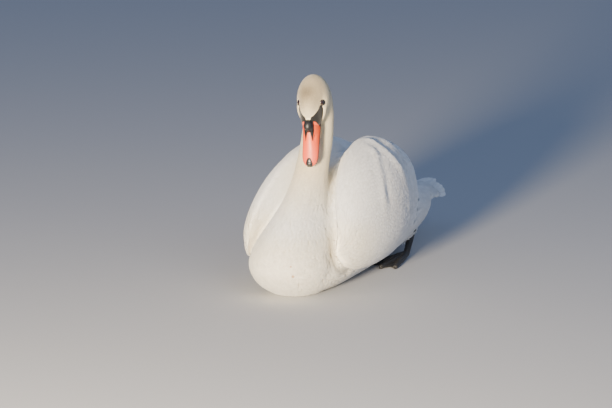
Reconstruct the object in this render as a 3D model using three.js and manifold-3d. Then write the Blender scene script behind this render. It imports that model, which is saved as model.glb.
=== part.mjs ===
// A life-size mute swan at rest on the ground: breast and belly on the floor, wings folded,
// the neck leaning back in a shallow S and the bill drawn in towards it.
// Millimetres, +Z up. The swan looks towards -Y, its left side is +X, and the floor is z = 0.
import * as THREE from "three";
import { mergeVertices } from "three/addons/utils/BufferGeometryUtils.js";
import Module from "manifold-3d";

const wasm = await Module();
wasm.setup();

// ---- Driving dimensions ----
const LENGTH = 850; // breast to tail tip
const MIDLINE_X = -5.5; // the left wing is carried fuller, so the middle of the whole is beside the midline
const GAP = 0.4; // clearance between neighbouring pieces
const NECK_PARTS = { lower: 7.2, middle: 9.6, upper: 12.2, head: 16.6, face: 26 }; // cuts, in stations

// The head hangs from the arch of the neck. Its own frame starts at the tip of the bill's cutting edge:
// s runs back along the edge and h rises towards the crown.
const BILL_TIP = { y: 140, z: 283 };
const BILL_PITCH = THREE.MathUtils.degToRad(68); // below the horizontal
const HEAD_TURN = THREE.MathUtils.degToRad(11); // to the swan's left
const HEAD_ROLL = THREE.MathUtils.degToRad(3.2); // bill tip towards the swan's left
const HEAD_PIVOT = new THREE.Vector3(0, 228, 400); // on the neck's axis, under the arch
const TURN_FROM = 9; // station where the turn of the head begins
const TURN_TO = 18; // station where it is complete

const COLOURS = { plumage: 0xf4f1ea, bill: 0xe8734a, black: 0x17171a, eye: 0x1d130d, leg: 0x2b2b2e };

// ---- Small helpers ----
const clamp01 = (t) => Math.min(1, Math.max(0, t));
const smooth = (t) => clamp01(t) ** 2 * (3 - 2 * clamp01(t));
const lerp = (a, b, t) => a + (b - a) * t;

// Value of a smooth curve through evenly numbered stations, at station number t.
function along(values, t) {
  const last = values.length - 1;
  const i = Math.min(Math.max(Math.floor(t), 0), last - 1);
  const f = t - i;
  const before = values[Math.max(i - 1, 0)];
  const [a, b] = [values[i], values[i + 1]];
  const after = values[Math.min(i + 2, last)];
  const [leave, reach] = [(b - before) / 2, (after - a) / 2];
  return (
    a * (2 * f ** 3 - 3 * f ** 2 + 1) +
    leave * (f ** 3 - 2 * f ** 2 + f) +
    b * (3 * f ** 2 - 2 * f ** 3) +
    reach * (f ** 3 - f ** 2)
  );
}

// Each named column of a station table, sampled at t.
function sample(table, t) {
  const at = {};
  for (const key of Object.keys(table[0])) {
    at[key] = along(
      table.map((row) => row[key]),
      t,
    );
  }
  return at;
}

// A round-cornered power of cosine or sine, the coordinates of a superellipse.
const rounded = (x, n) => Math.sign(x) * Math.abs(x) ** (2 / n);

// A closed loft through rings of equal point count; each ring runs the same way round.
function loft(rings) {
  const count = rings[0].length;
  const points = rings.flat();
  const faces = [];
  for (let r = 0; r + 1 < rings.length; r++) {
    for (let i = 0; i < count; i++) {
      const j = (i + 1) % count;
      const [a, b] = [r * count + i, r * count + j];
      const [c, d] = [a + count, b + count];
      faces.push(a, b, d, a, d, c);
    }
  }
  const middle = (ring) => ring.reduce((s, p) => s.add(p), new THREE.Vector3()).divideScalar(ring.length);
  const start = points.push(middle(rings[0])) - 1;
  const end = points.push(middle(rings[rings.length - 1])) - 1;
  const tail = (rings.length - 1) * count;
  for (let i = 0; i < count; i++) {
    const j = (i + 1) % count;
    faces.push(start, j, i, end, tail + i, tail + j);
  }
  const geometry = new THREE.BufferGeometry().setFromPoints(points);
  geometry.setIndex(faces);
  return geometry;
}

// A three.js geometry as a manifold solid, turned face out.
function solid(geometry) {
  const bare = new THREE.BufferGeometry().setAttribute("position", geometry.getAttribute("position"));
  bare.setIndex(geometry.index);
  const merged = mergeVertices(bare, 1e-4);
  const make = (triVerts) =>
    new wasm.Manifold(
      new wasm.Mesh({ numProp: 3, vertProperties: merged.attributes.position.array, triVerts }),
    );
  const triangles = new Uint32Array(merged.index.array);
  const made = make(triangles);
  if (made.volume() > 0) return made;
  for (let i = 0; i < triangles.length; i += 3) {
    [triangles[i + 1], triangles[i + 2]] = [triangles[i + 2], triangles[i + 1]];
  }
  return make(triangles);
}

// A manifold solid's biggest body, as a named mesh.
const group = new THREE.Group();
function addNode(name, shape, colour, roughness, tolerance = 0.05) {
  const bodies = shape.decompose().sort((a, b) => b.volume() - a.volume());
  const mesh = bodies[0].simplify(tolerance).getMesh();
  const step = mesh.numProp;
  const positions = new Float32Array(mesh.numVert * 3);
  for (let i = 0; i < mesh.numVert; i++) {
    positions.set(mesh.vertProperties.subarray(i * step, i * step + 3), i * 3);
  }
  const geometry = new THREE.BufferGeometry();
  geometry.setAttribute("position", new THREE.BufferAttribute(positions, 3));
  geometry.setIndex(new THREE.BufferAttribute(mesh.triVerts, 1));
  geometry.computeVertexNormals();
  const material = new THREE.MeshStandardMaterial({ color: colour, roughness, metalness: 0 });
  const node = new THREE.Mesh(geometry, material);
  node.name = name;
  group.add(node);
}

// ---- Trunk: upright sections from the breast back to the root of the tail ----
// y place, top and bottom height, half width. Whatever would reach below the floor lies flat on it.
const TRUNK = [
  { y: 45, top: 62, bottom: 20, half: 48 },
  { y: 75, top: 108, bottom: 4, half: 84 },
  { y: 120, top: 152, bottom: -6, half: 106 },
  { y: 180, top: 204, bottom: -11, half: 121 },
  { y: 250, top: 250, bottom: -11, half: 130 },
  { y: 330, top: 272, bottom: -8, half: 133 },
  { y: 410, top: 262, bottom: -3, half: 131 },
  { y: 490, top: 232, bottom: 7, half: 121 },
  { y: 565, top: 196, bottom: 20, half: 106 },
  { y: 635, top: 161, bottom: 33, half: 88 },
  { y: 695, top: 137, bottom: 48, half: 69 },
  { y: 738, top: 126, bottom: 65, half: 49 },
  { y: 764, top: 119, bottom: 84, half: 27 },
];
const TRUNK_WIDEST = 0.42; // height of the widest line, as a share of the section
const TRUNK_POINTS = 20;

function trunkRing(t) {
  const at = sample(TRUNK, t);
  const middle = lerp(at.bottom, at.top, TRUNK_WIDEST);
  const ring = [];
  for (let i = 0; i < TRUNK_POINTS; i++) {
    const angle = (2 * Math.PI * i) / TRUNK_POINTS;
    const up = Math.cos(angle);
    const reach = up > 0 ? at.top - middle : middle - at.bottom;
    ring.push(new THREE.Vector3(at.half * Math.sin(angle), at.y, Math.max(0, middle + reach * up)));
  }
  return ring;
}

function trunkSolid() {
  const rings = [];
  const steps = 1.5 * (TRUNK.length - 1);
  for (let k = 0; k <= steps; k++) rings.push(trunkRing(k / 1.5));
  return solid(loft(rings));
}

// ---- Breast, neck and head: one bent column, each section a slice from its front to its back edge ----
// front and back edge of the section in the swan's plane of symmetry, and the half width.
const COLUMN = [
  { fy: 70, fz: -4, by: 190, bz: -4, half: 50 },
  { fy: 26, fz: 23, by: 204, bz: 21, half: 82 },
  { fy: 1, fz: 58, by: 216, bz: 56, half: 97 },
  { fy: 3, fz: 90, by: 224, bz: 92, half: 95 },
  { fy: 20, fz: 120, by: 229, bz: 128, half: 82 },
  { fy: 44, fz: 148, by: 233, bz: 162, half: 66 },
  { fy: 71, fz: 175, by: 237, bz: 196, half: 52 },
  { fy: 100, fz: 203, by: 241, bz: 229, half: 42.5 },
  { fy: 129, fz: 233, by: 245, bz: 260, half: 38 },
  { fy: 154, fz: 264, by: 249, bz: 286, half: 36.3 },
  { fy: 173, fz: 295, by: 254, bz: 310, half: 36 },
  { fy: 187, fz: 325, by: 259, bz: 335, half: 36 },
  { fy: 196, fz: 351, by: 262, bz: 363, half: 35.5 },
  { fy: 199, fz: 365, by: 262, bz: 392, half: 35.5 },
  { fy: 199, fz: 371, by: 258, bz: 420, half: 35.5 },
  { fy: 198, fz: 373, by: 250, bz: 445, half: 36 },
  { fy: 196.5, fz: 372.5, by: 237, bz: 464, half: 36.5 },
  { fy: 195, fz: 371.5, by: 221, bz: 476, half: 36.5 },
  { fy: 193.5, fz: 370, by: 203, bz: 480, half: 36.6 },
  { fy: 192, fz: 368.5, by: 186, bz: 476, half: 36 },
  { fy: 190.8, fz: 367, by: 171, bz: 467, half: 34.2 },
  { fy: 189.6, fz: 365.6, by: 159, bz: 454, half: 31.2 },
  { fy: 188.4, fz: 364.3, by: 150.5, bz: 438, half: 28.4 },
  { fy: 187.3, fz: 363.1, by: 145.5, bz: 421, half: 26.2 },
  { fy: 186.2, fz: 362, by: 143.8, bz: 404, half: 24.2 },
  { fy: 185.1, fz: 361, by: 144, bz: 389, half: 22.4 },
  { fy: 184, fz: 360, by: 145.2, bz: 375.8, half: 19.5 },
];
const COLUMN_POINTS = 18;
const RINGS_PER_STATION = 1.7;

// Turns a point with the head; share is 0 on the neck and 1 on the head.
function turnHead(point, share) {
  const turned = point.clone().sub(HEAD_PIVOT);
  turned.applyAxisAngle(new THREE.Vector3(0, 1, 0), -HEAD_ROLL * share);
  turned.applyAxisAngle(new THREE.Vector3(0, 0, 1), HEAD_TURN * share);
  return turned.add(HEAD_PIVOT);
}

function columnRing(t, grow = 0) {
  const at = sample(COLUMN, t);
  const front = new THREE.Vector3(0, at.fy, at.fz);
  const back = new THREE.Vector3(0, at.by, at.bz);
  const centre = front.clone().lerp(back, 0.5);
  const reach = back.clone().sub(centre);
  reach.setLength(reach.length() + grow);
  const share = smooth((t - TURN_FROM) / (TURN_TO - TURN_FROM));
  const ring = [];
  for (let i = 0; i < COLUMN_POINTS; i++) {
    const angle = (2 * Math.PI * i) / COLUMN_POINTS;
    const point = centre.clone().addScaledVector(reach, Math.cos(angle));
    point.x = (at.half + grow) * Math.sin(angle);
    point.z = Math.max(0, point.z);
    ring.push(turnHead(point, share));
  }
  return ring;
}

// The column between two stations.
function columnSolid(from, to, grow = 0) {
  const steps = Math.max(1, Math.round((to - from) * RINGS_PER_STATION));
  const rings = [];
  for (let k = 0; k <= steps; k++) rings.push(columnRing(lerp(from, to, k / steps), grow));
  return solid(loft(rings));
}

// ---- Folded wings: sections along the flank, each an egg through its four outermost points ----
// y place; crest (x out from the midline, z); outermost, lowest and innermost point likewise.
const WING = [
  { y: 96, topX: 109, top: 114, out: 114, outZ: 104, lowX: 110, low: 92, inward: 106, inZ: 104 },
  { y: 110, topX: 108, top: 148, out: 128, outZ: 112, lowX: 117, low: 72, inward: 106, inZ: 116 },
  { y: 130, topX: 96, top: 192, out: 143, outZ: 118, lowX: 119, low: 60, inward: 97, inZ: 126 },
  { y: 160, topX: 82, top: 234, out: 157, outZ: 124, lowX: 118, low: 50, inward: 77, inZ: 140 },
  { y: 200, topX: 75, top: 267, out: 168, outZ: 128, lowX: 116, low: 44, inward: 53, inZ: 160 },
  { y: 250, topX: 66, top: 291, out: 174, outZ: 132, lowX: 114, low: 42, inward: 34, inZ: 180 },
  { y: 310, topX: 60, top: 305, out: 174, outZ: 138, lowX: 110, low: 44, inward: 18, inZ: 195 },
  { y: 370, topX: 57, top: 306, out: 167, outZ: 144, lowX: 104, low: 50, inward: 8, inZ: 205 },
  { y: 430, topX: 54, top: 290, out: 151, outZ: 148, lowX: 96, low: 58, inward: 5, inZ: 204 },
  { y: 490, topX: 50, top: 267, out: 128, outZ: 150, lowX: 85, low: 68, inward: 5, inZ: 198 },
  { y: 550, topX: 44, top: 237, out: 98, outZ: 148, lowX: 69, low: 80, inward: 5, inZ: 187 },
  { y: 610, topX: 37, top: 202, out: 68, outZ: 144, lowX: 51, low: 94, inward: 5, inZ: 168 },
  { y: 655, topX: 28, top: 172, out: 46, outZ: 138, lowX: 36, low: 106, inward: 5, inZ: 151 },
  { y: 686, topX: 21, top: 147, out: 30, outZ: 131, lowX: 25, low: 117, inward: 9, inZ: 135 },
  { y: 702, topX: 18, top: 134, out: 23, outZ: 129, lowX: 19, low: 124, inward: 13, inZ: 130 },
];
const WING_POINTS = 18;
const WINGS = {
  left: { side: 1, lift: 8, width: 1, shoulder: 2.2 }, // carried a little higher and fuller
  right: { side: -1, lift: 0, width: 0.9, shoulder: 1.5 },
};
const WING_TIP_FROM = 580; // beyond this the wing is only its long flight feathers

function wingRing(t, wing, grow) {
  const at = sample(WING, t);
  const crest = at.top + wing.lift * clamp01((at.top - at.outZ) / 100);
  const outer = lerp(at.topX, at.out, wing.width);
  const ring = [];
  for (let i = 0; i < WING_POINTS; i++) {
    const angle = (2 * Math.PI * i) / WING_POINTS;
    const [c, s] = [Math.cos(angle), Math.sin(angle)];
    const n = c > 0 && s > 0 ? wing.shoulder : 2;
    const middleX = c > 0 ? at.topX : at.lowX;
    const middleZ = s > 0 ? at.outZ : at.inZ;
    const x = middleX + (s > 0 ? outer + grow - middleX : middleX + grow - at.inward) * rounded(s, n);
    const z = middleZ + (c > 0 ? crest + grow - middleZ : middleZ + grow - at.low) * rounded(c, n);
    ring.push(new THREE.Vector3(wing.side * x, at.y, z));
  }
  return ring;
}

function wingSolid(wing, grow = 0) {
  const steps = 1.5 * (WING.length - 1);
  const rings = [];
  for (let k = 0; k <= steps; k++) rings.push(wingRing(k / 1.5, wing, grow));
  rings[0].forEach((p) => (p.y -= grow));
  rings[steps].forEach((p) => (p.y += grow));
  return solid(loft(rings));
}

// ---- Tail: a long wedge of feathers ----
const TAIL = [
  { y: 700, z: 118, half: 46, thick: 14 },
  { y: 735, z: 116, half: 56, thick: 11 },
  { y: 770, z: 115, half: 61, thick: 8 },
  { y: 805, z: 115, half: 56, thick: 5.5 },
  { y: 830, z: 115, half: 42, thick: 3.5 },
  { y: 845, z: 114, half: 24, thick: 2.2 },
  { y: LENGTH, z: 113, half: 9, thick: 1.2 },
];
const TAIL_DROOP = 0.42; // how far the edges of the fan hang below its middle, per unit of half width
const TAIL_POINTS = 18;

function tailSolid(grow = 0) {
  const rings = [];
  for (let k = 0; k <= 2 * (TAIL.length - 1); k++) {
    const at = sample(TAIL, k / 2);
    const ring = [];
    at.y -= k === 0 ? grow : 0;
    for (let i = 0; i < TAIL_POINTS; i++) {
      const angle = (2 * Math.PI * i) / TAIL_POINTS;
      const x = (at.half + grow) * Math.sin(angle);
      const sag = TAIL_DROOP * Math.abs(x) * Math.abs(Math.sin(angle));
      ring.push(new THREE.Vector3(x, at.y, at.z - sag + (at.thick + grow) * rounded(Math.cos(angle), 2)));
    }
    rings.push(ring);
  }
  return solid(loft(rings));
}

// ---- Bill, knob and eyes, in the head's own frame ----
function headPoint(x, s, h) {
  const y = BILL_TIP.y + s * Math.cos(BILL_PITCH) - h * Math.sin(BILL_PITCH);
  const z = BILL_TIP.z + s * Math.sin(BILL_PITCH) + h * Math.cos(BILL_PITCH);
  return turnHead(new THREE.Vector3(x, y, z), 1);
}

// s place along the bill, half width, height of the ridge over the cutting edge, sharpness of the ridge.
const UPPER_BILL = [
  { s: 0, half: 5, ridge: 3, n: 2 },
  { s: 3, half: 10.5, ridge: 6.5, n: 2 },
  { s: 9, half: 15, ridge: 9, n: 2 },
  { s: 20, half: 18.2, ridge: 10.8, n: 1.9 },
  { s: 36, half: 18.8, ridge: 13.4, n: 1.8 },
  { s: 52, half: 19, ridge: 17.6, n: 1.7 },
  { s: 68, half: 19.6, ridge: 23, n: 1.6 },
  { s: 82, half: 20.4, ridge: 28, n: 1.6 },
  { s: 96, half: 20.5, ridge: 31, n: 1.7 },
];
const PALATE = 1.2; // how far the cutting edge stands below the ridge's base line
const LOWER_BILL = [
  { s: 7, half: 8, top: 1.5, deep: 3 },
  { s: 14, half: 13, top: 1.5, deep: 4.5 },
  { s: 34, half: 15, top: 1.5, deep: 6 },
  { s: 60, half: 15.4, top: 1.5, deep: 7.5 },
  { s: 84, half: 16, top: 1.5, deep: 9 },
  { s: 92, half: 16, top: 1.5, deep: 9.5 },
];
const BILL_POINTS = 12;

function billSolid(table, height, grow = 0) {
  const rings = [];
  const steps = 2 * (table.length - 1);
  for (let k = 0; k <= steps; k++) {
    const at = sample(table, k / 2);
    if (k === 0) at.s -= grow;
    if (k === steps) at.s += grow;
    const ring = [];
    for (let i = 0; i < BILL_POINTS; i++) {
      const angle = (2 * Math.PI * i) / BILL_POINTS;
      const x = (at.half + grow) * Math.sin(angle);
      ring.push(headPoint(x, at.s, height(at, Math.cos(angle), grow)));
    }
    rings.push(ring);
  }
  return solid(loft(rings));
}

const upperBill = (grow) =>
  billSolid(
    UPPER_BILL,
    (at, c, more) => (c > 0 ? (at.ridge + more) * rounded(c, at.n) : (PALATE + more) * c),
    grow,
  );
const lowerBill = (grow) =>
  billSolid(LOWER_BILL, (at, c, more) => (c > 0 ? more - at.top : -at.top + (at.deep + more) * c), grow);

// A ball stretched along s, across x and up h.
function headBall(s, h, x, radii, grow = 0) {
  const geometry = new THREE.SphereGeometry(1, 12, 8);
  const position = geometry.getAttribute("position");
  for (let i = 0; i < position.count; i++) {
    const [u, v, w] = [position.getX(i), position.getY(i), position.getZ(i)];
    const p = headPoint(x + u * (radii.x + grow), s + v * (radii.s + grow), h + w * (radii.h + grow));
    position.setXYZ(i, p.x, p.y, p.z);
  }
  return solid(geometry);
}

const knob = (grow) => headBall(87, 28.5, 0, { s: 14, x: 10.5, h: 12.5 }, grow);
const nailZone = (grow) => headBall(1, 6, 0, { s: 16, x: 8, h: 10 }, grow);
const EYE = { s: 140.5, h: 21.5, x: 23.9, radius: 7 };
const eyeball = (side, grow) =>
  headBall(EYE.s, EYE.h, side * EYE.x, { s: EYE.radius, x: EYE.radius, h: EYE.radius }, grow);

// ---- Legs and webbed feet ----
const FOOT_THICK = 3; // the web
const ANKLE = new THREE.Vector3(86, 572, 80);
const HEEL = new THREE.Vector3(93, 508, 10);
const TOES = [
  { x: 58, y: 408, radius: 5.5 },
  { x: 86, y: 384, radius: 6 },
  { x: 116, y: 398, radius: 5.5 },
];

// A round bar with ball ends from a to b.
function bar(a, b, radiusA, radiusB) {
  const ball = (p, r) => solid(new THREE.SphereGeometry(r, 8, 6).translate(p.x, p.y, p.z));
  return wasm.Manifold.hull([ball(a, radiusA), ball(b, radiusB)]);
}

const aboveFloor = (shape) => shape.trimByPlane([0, 0, 1], 0);
const mirrored = (shape, side) => (side > 0 ? shape : shape.mirror([1, 0, 0]));
const tarsus = (grow) => bar(HEEL, ANKLE, 7.5 + grow, 9 + grow);

function footSolid(grow) {
  const bars = TOES.map((toe) => {
    const tip = new THREE.Vector3(toe.x, toe.y, toe.radius - 1);
    return bar(HEEL, tip, 8 + grow, toe.radius + grow);
  });
  const outline = new THREE.Shape([HEEL, ...TOES].map((p) => new THREE.Vector2(p.x, p.y)));
  const web = solid(new THREE.ExtrudeGeometry(outline, { depth: FOOT_THICK + grow, bevelEnabled: false }));
  return aboveFloor(bars.reduce((all, one) => all.add(one), web));
}

// ---- Assembly ----
const cutBy = (shape, tools) => tools.reduce((left, tool) => left.subtract(tool), shape);
const wingCuts = Object.values(WINGS).map((wing) => wingSolid(wing, 2 * GAP).simplify(0.35));
const SIDES = { left: 1, right: -1 };

const neckCut = columnSolid(NECK_PARTS.lower, TURN_TO, GAP);
const legCut = tarsus(2 * GAP).add(footSolid(2 * GAP)).simplify(0.2);
const legCuts = Object.values(SIDES).map((side) => mirrored(legCut, side));
const trunkCuts = [neckCut, tailSolid(2 * GAP), ...wingCuts, ...legCuts];
const trunk = cutBy(trunkSolid().add(columnSolid(0, NECK_PARTS.lower)), trunkCuts);
addNode("trunk", trunk, COLOURS.plumage, 0.8, 0.3);
addNode("tail", cutBy(tailSolid(), wingCuts), COLOURS.plumage, 0.8, 0.1);

for (const [name, wing] of Object.entries(WINGS)) {
  const whole = wingSolid(wing);
  addNode(`wing_${name}`, whole.trimByPlane([0, -1, 0], -WING_TIP_FROM), COLOURS.plumage, 0.8, 0.1);
  addNode(`wing_tip_${name}`, whole.trimByPlane([0, 1, 0], WING_TIP_FROM + GAP), COLOURS.plumage, 0.8, 0.1);
}

const STATION_GAP = 0.03; // keeps neighbouring slices of the column about GAP apart
const cuts = Object.values(NECK_PARTS);
const headCuts = [upperBill(GAP), lowerBill(GAP), knob(GAP), eyeball(1, GAP), eyeball(-1, GAP)];
["neck_lower", "neck_middle", "neck_upper", "head"].forEach((name, i) => {
  const slice = columnSolid(cuts[i] + STATION_GAP, cuts[i + 1]);
  addNode(name, cutBy(slice, name === "head" ? headCuts : wingCuts), COLOURS.plumage, 0.8, 0.1);
});

addNode("bill_upper", upperBill(0).subtract(knob(GAP)).subtract(nailZone(GAP)), COLOURS.bill, 0.45);
addNode("bill_lower", lowerBill(0), COLOURS.bill, 0.5);
addNode("nail", upperBill(0).intersect(nailZone(0)), COLOURS.black, 0.4);
addNode("knob", knob(0), COLOURS.black, 0.5);
for (const [name, side] of Object.entries(SIDES)) {
  addNode(`eye_${name}`, eyeball(side, 0), COLOURS.eye, 0.1);
  addNode(`leg_${name}`, mirrored(tarsus(0), side), COLOURS.leg, 0.6);
  addNode(`foot_${name}`, mirrored(footSolid(0).subtract(tarsus(GAP)), side), COLOURS.leg, 0.6);
}

group.position.set(MIDLINE_X, -LENGTH / 2, 0);
export default group;
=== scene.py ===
import itertools
import math

import bmesh
import bpy
import numpy as np
from mathutils import Matrix, Vector
from mathutils.bvhtree import BVHTree
from mathutils.kdtree import KDTree


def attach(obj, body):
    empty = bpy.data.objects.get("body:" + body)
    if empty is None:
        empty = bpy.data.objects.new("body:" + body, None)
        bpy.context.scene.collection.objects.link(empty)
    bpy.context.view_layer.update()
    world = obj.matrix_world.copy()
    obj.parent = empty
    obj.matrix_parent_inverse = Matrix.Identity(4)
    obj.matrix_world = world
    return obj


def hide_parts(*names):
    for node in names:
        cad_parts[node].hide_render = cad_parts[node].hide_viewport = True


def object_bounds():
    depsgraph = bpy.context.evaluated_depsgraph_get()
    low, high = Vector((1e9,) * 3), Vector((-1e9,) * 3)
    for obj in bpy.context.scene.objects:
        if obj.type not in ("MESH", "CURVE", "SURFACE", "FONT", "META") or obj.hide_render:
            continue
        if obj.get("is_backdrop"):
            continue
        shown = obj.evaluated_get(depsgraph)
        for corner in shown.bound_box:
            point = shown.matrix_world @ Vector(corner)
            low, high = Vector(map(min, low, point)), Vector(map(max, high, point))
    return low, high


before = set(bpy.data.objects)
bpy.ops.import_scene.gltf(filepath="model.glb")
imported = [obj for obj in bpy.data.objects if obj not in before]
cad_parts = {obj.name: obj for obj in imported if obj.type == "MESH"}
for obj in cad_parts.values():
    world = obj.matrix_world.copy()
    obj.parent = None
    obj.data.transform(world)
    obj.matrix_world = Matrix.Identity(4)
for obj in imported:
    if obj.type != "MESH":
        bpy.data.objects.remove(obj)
CAD_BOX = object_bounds()
RNG = np.random.default_rng(7)

# Camera: the photo's frame is 612 x 408. The swan stands about 6 m away.
PHOTO_W, PHOTO_H = 612, 408
CAM_AZ, CAM_EL = 27, 13  # degrees towards the swan's left and above the floor
FOCAL_PX = 2664.0
NECK_POINT = np.array([-0.0055, -0.210, 0.307])  # a point on the neck and where it stands in the photo
NECK_PX = (315.2, 149.0)
NECK_DISTANCE = 6.0
SENSOR_MM = 36


def towards(azimuth, elevation):
    """Unit vector out from the swan, for degrees to its left and above the floor."""
    a, e = math.radians(azimuth), math.radians(elevation)
    return np.array([math.sin(a) * math.cos(e), -math.cos(a) * math.cos(e), math.sin(e)])


def add_camera():
    back = towards(CAM_AZ, CAM_EL)
    right = np.array([math.cos(math.radians(CAM_AZ)), math.sin(math.radians(CAM_AZ)), 0])
    up = np.cross(back, right)
    ray = -back * FOCAL_PX + right * (NECK_PX[0] - PHOTO_W / 2) + up * (PHOTO_H / 2 - NECK_PX[1])
    camera = bpy.data.objects.new("camera", bpy.data.cameras.new("camera"))
    camera.data.sensor_width = SENSOR_MM
    camera.data.lens = SENSOR_MM * FOCAL_PX / PHOTO_W
    camera.data.clip_end = 200
    rotation = Matrix((right, up, back)).transposed().to_4x4()
    camera.matrix_world = Matrix.Translation(Vector(NECK_POINT - ray * NECK_DISTANCE / FOCAL_PX)) @ rotation
    bpy.context.scene.collection.objects.link(camera)
    bpy.context.scene.camera = camera


# The swan's form, the same tables as the solids. Millimetres, y counted from the breast.
LENGTH = 850
MIDLINE_X = -5.5  # the left wing is carried fuller, so the middle of the whole is beside the midline
TRUNK_KEYS = ("y", "top", "bottom", "half")
TRUNK = [
    (45, 62, 20, 48),
    (75, 108, 4, 84),
    (120, 152, -6, 106),
    (180, 204, -11, 121),
    (250, 250, -11, 130),
    (330, 272, -8, 133),
    (410, 262, -3, 131),
    (490, 232, 7, 121),
    (565, 196, 20, 106),
    (635, 161, 33, 88),
    (695, 137, 48, 69),
    (738, 126, 65, 49),
    (764, 119, 84, 27),
]
TRUNK_WIDEST = 0.42
COLUMN_KEYS = ("fy", "fz", "by", "bz", "half")
COLUMN = [
    (70, -4, 190, -4, 50),
    (26, 23, 204, 21, 82),
    (1, 58, 216, 56, 97),
    (3, 90, 224, 92, 95),
    (20, 120, 229, 128, 82),
    (44, 148, 233, 162, 66),
    (71, 175, 237, 196, 52),
    (100, 203, 241, 229, 42.5),
    (129, 233, 245, 260, 38),
    (154, 264, 249, 286, 36.3),
    (173, 295, 254, 310, 36),
    (187, 325, 259, 335, 36),
    (196, 351, 262, 363, 35.5),
    (199, 365, 262, 392, 35.5),
    (199, 371, 258, 420, 35.5),
    (198, 373, 250, 445, 36),
    (196.5, 372.5, 237, 464, 36.5),
    (195, 371.5, 221, 476, 36.5),
    (193.5, 370, 203, 480, 36.6),
    (192, 368.5, 186, 476, 36),
    (190.8, 367, 171, 467, 34.2),
    (189.6, 365.6, 159, 454, 31.2),
    (188.4, 364.3, 150.5, 438, 28.4),
    (187.3, 363.1, 145.5, 421, 26.2),
    (186.2, 362, 143.8, 404, 24.2),
    (185.1, 361, 144, 389, 22.4),
    (184, 360, 145.2, 375.8, 19.5),
]
WING_KEYS = ("y", "topX", "top", "out", "outZ", "lowX", "low", "inward", "inZ")
WING = [
    (96, 109, 114, 114, 104, 110, 92, 106, 104),
    (110, 108, 148, 128, 112, 117, 72, 106, 116),
    (130, 96, 192, 143, 118, 119, 60, 97, 126),
    (160, 82, 234, 157, 124, 118, 50, 77, 140),
    (200, 75, 267, 168, 128, 116, 44, 53, 160),
    (250, 66, 291, 174, 132, 114, 42, 34, 180),
    (310, 60, 305, 174, 138, 110, 44, 18, 195),
    (370, 57, 306, 167, 144, 104, 50, 8, 205),
    (430, 54, 290, 151, 148, 96, 58, 5, 204),
    (490, 50, 267, 128, 150, 85, 68, 5, 198),
    (550, 44, 237, 98, 148, 69, 80, 5, 187),
    (610, 37, 202, 68, 144, 51, 94, 5, 168),
    (655, 28, 172, 46, 138, 36, 106, 5, 151),
    (686, 21, 147, 30, 131, 25, 117, 9, 135),
    (702, 18, 134, 23, 129, 19, 124, 13, 130),
]
WINGS = {  # side, lift of the crest, share of the full width, squareness of the shoulder
    "wing_left": (1, 8, 1, 2.2),
    "wing_right": (-1, 0, 0.9, 1.5),
}
TAIL_KEYS = ("y", "z", "half", "thick")
TAIL = [
    (700, 118, 46, 14),
    (735, 116, 56, 11),
    (770, 115, 61, 8),
    (805, 115, 56, 5.5),
    (830, 115, 42, 3.5),
    (845, 114, 24, 2.2),
    (850, 113, 9, 1.2),
]
TAIL_DROOP = 0.42

BILL_TIP = (140, 283)
BILL_PITCH = math.radians(68)
HEAD_TURN = math.radians(11)
HEAD_ROLL = math.radians(3.2)
HEAD_PIVOT = np.array([0, 228, 400.0])
TURN_FROM, TURN_TO = 9, 18
EYE = {"s": 140.5, "h": 21.5, "x": 23.9, "radius": 7.0}
EYE_OPEN = 5.4  # half width of the opening between the lids
EYE_RING = 6.9  # outside of the bare black ring round it
HEAD_Z = 0.34  # metres; only the head and the top of the neck are above it


def along(values, t):
    """Smooth curve through evenly numbered stations; values is (stations,), t an array."""
    values = np.asarray(values, float)
    last = len(values) - 1
    i = np.clip(np.floor(t).astype(int), 0, last - 1)
    f = t - i
    before, a, b = values[np.maximum(i - 1, 0)], values[i], values[i + 1]
    after = values[np.minimum(i + 2, last)]
    leave, reach = (b - before) / 2, (after - a) / 2
    cubes = a * (2 * f**3 - 3 * f**2 + 1) + b * (3 * f**2 - 2 * f**3)
    return cubes + leave * (f**3 - 2 * f**2 + f) + reach * (f**3 - f**2)


def sample(table, keys, t):
    t = np.asarray(t, float)
    return {key: along([row[i] for row in table], t) for i, key in enumerate(keys)}


def power(x, n):
    return np.sign(x) * np.abs(x) ** (2 / n)


def smooth(t):
    t = np.clip(t, 0, 1)
    return t * t * (3 - 2 * t)


def to_row(x, y, z):
    """Millimetres from the midline, breast and floor to metres in the shared frame."""
    return np.stack([np.asarray(x) + MIDLINE_X, np.asarray(y) - LENGTH / 2, z], -1) / 1000


def from_row(points):
    """The reverse: metres in the shared frame to x, y, z in millimetres."""
    return np.asarray(points) * 1000 - [MIDLINE_X, -LENGTH / 2, 0]


def rotate(points, axis, angle):
    """Points (n, 3) about an axis through the origin, by an angle each."""
    c, s = np.cos(angle)[:, None], np.sin(angle)[:, None]
    axis = np.asarray(axis, float)
    return points * c + np.cross(axis, points) * s + np.outer(points @ axis, axis) * (1 - c)


def turn_head(points, share):
    """Points (..., 3) in mm, turned by a share of the head's turn and put in the shared frame."""
    share = np.broadcast_to(share, points.shape[:-1]).ravel()
    flat = rotate(points.reshape(-1, 3) - HEAD_PIVOT, (0, 1, 0), -HEAD_ROLL * share)
    flat = rotate(flat, (0, 0, 1), HEAD_TURN * share) + HEAD_PIVOT
    return to_row(*flat.T).reshape(points.shape)


def head_point(x, s, h):
    """A place in the head's own frame (across, back along the bill, up) in the shared frame."""
    x, s, h = np.broadcast_arrays(np.asarray(x, float), s, h)
    y = BILL_TIP[0] + s * math.cos(BILL_PITCH) - h * math.sin(BILL_PITCH)
    z = BILL_TIP[1] + s * math.sin(BILL_PITCH) + h * math.cos(BILL_PITCH)
    return turn_head(np.stack([x, y, z], -1), 1.0)


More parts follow.
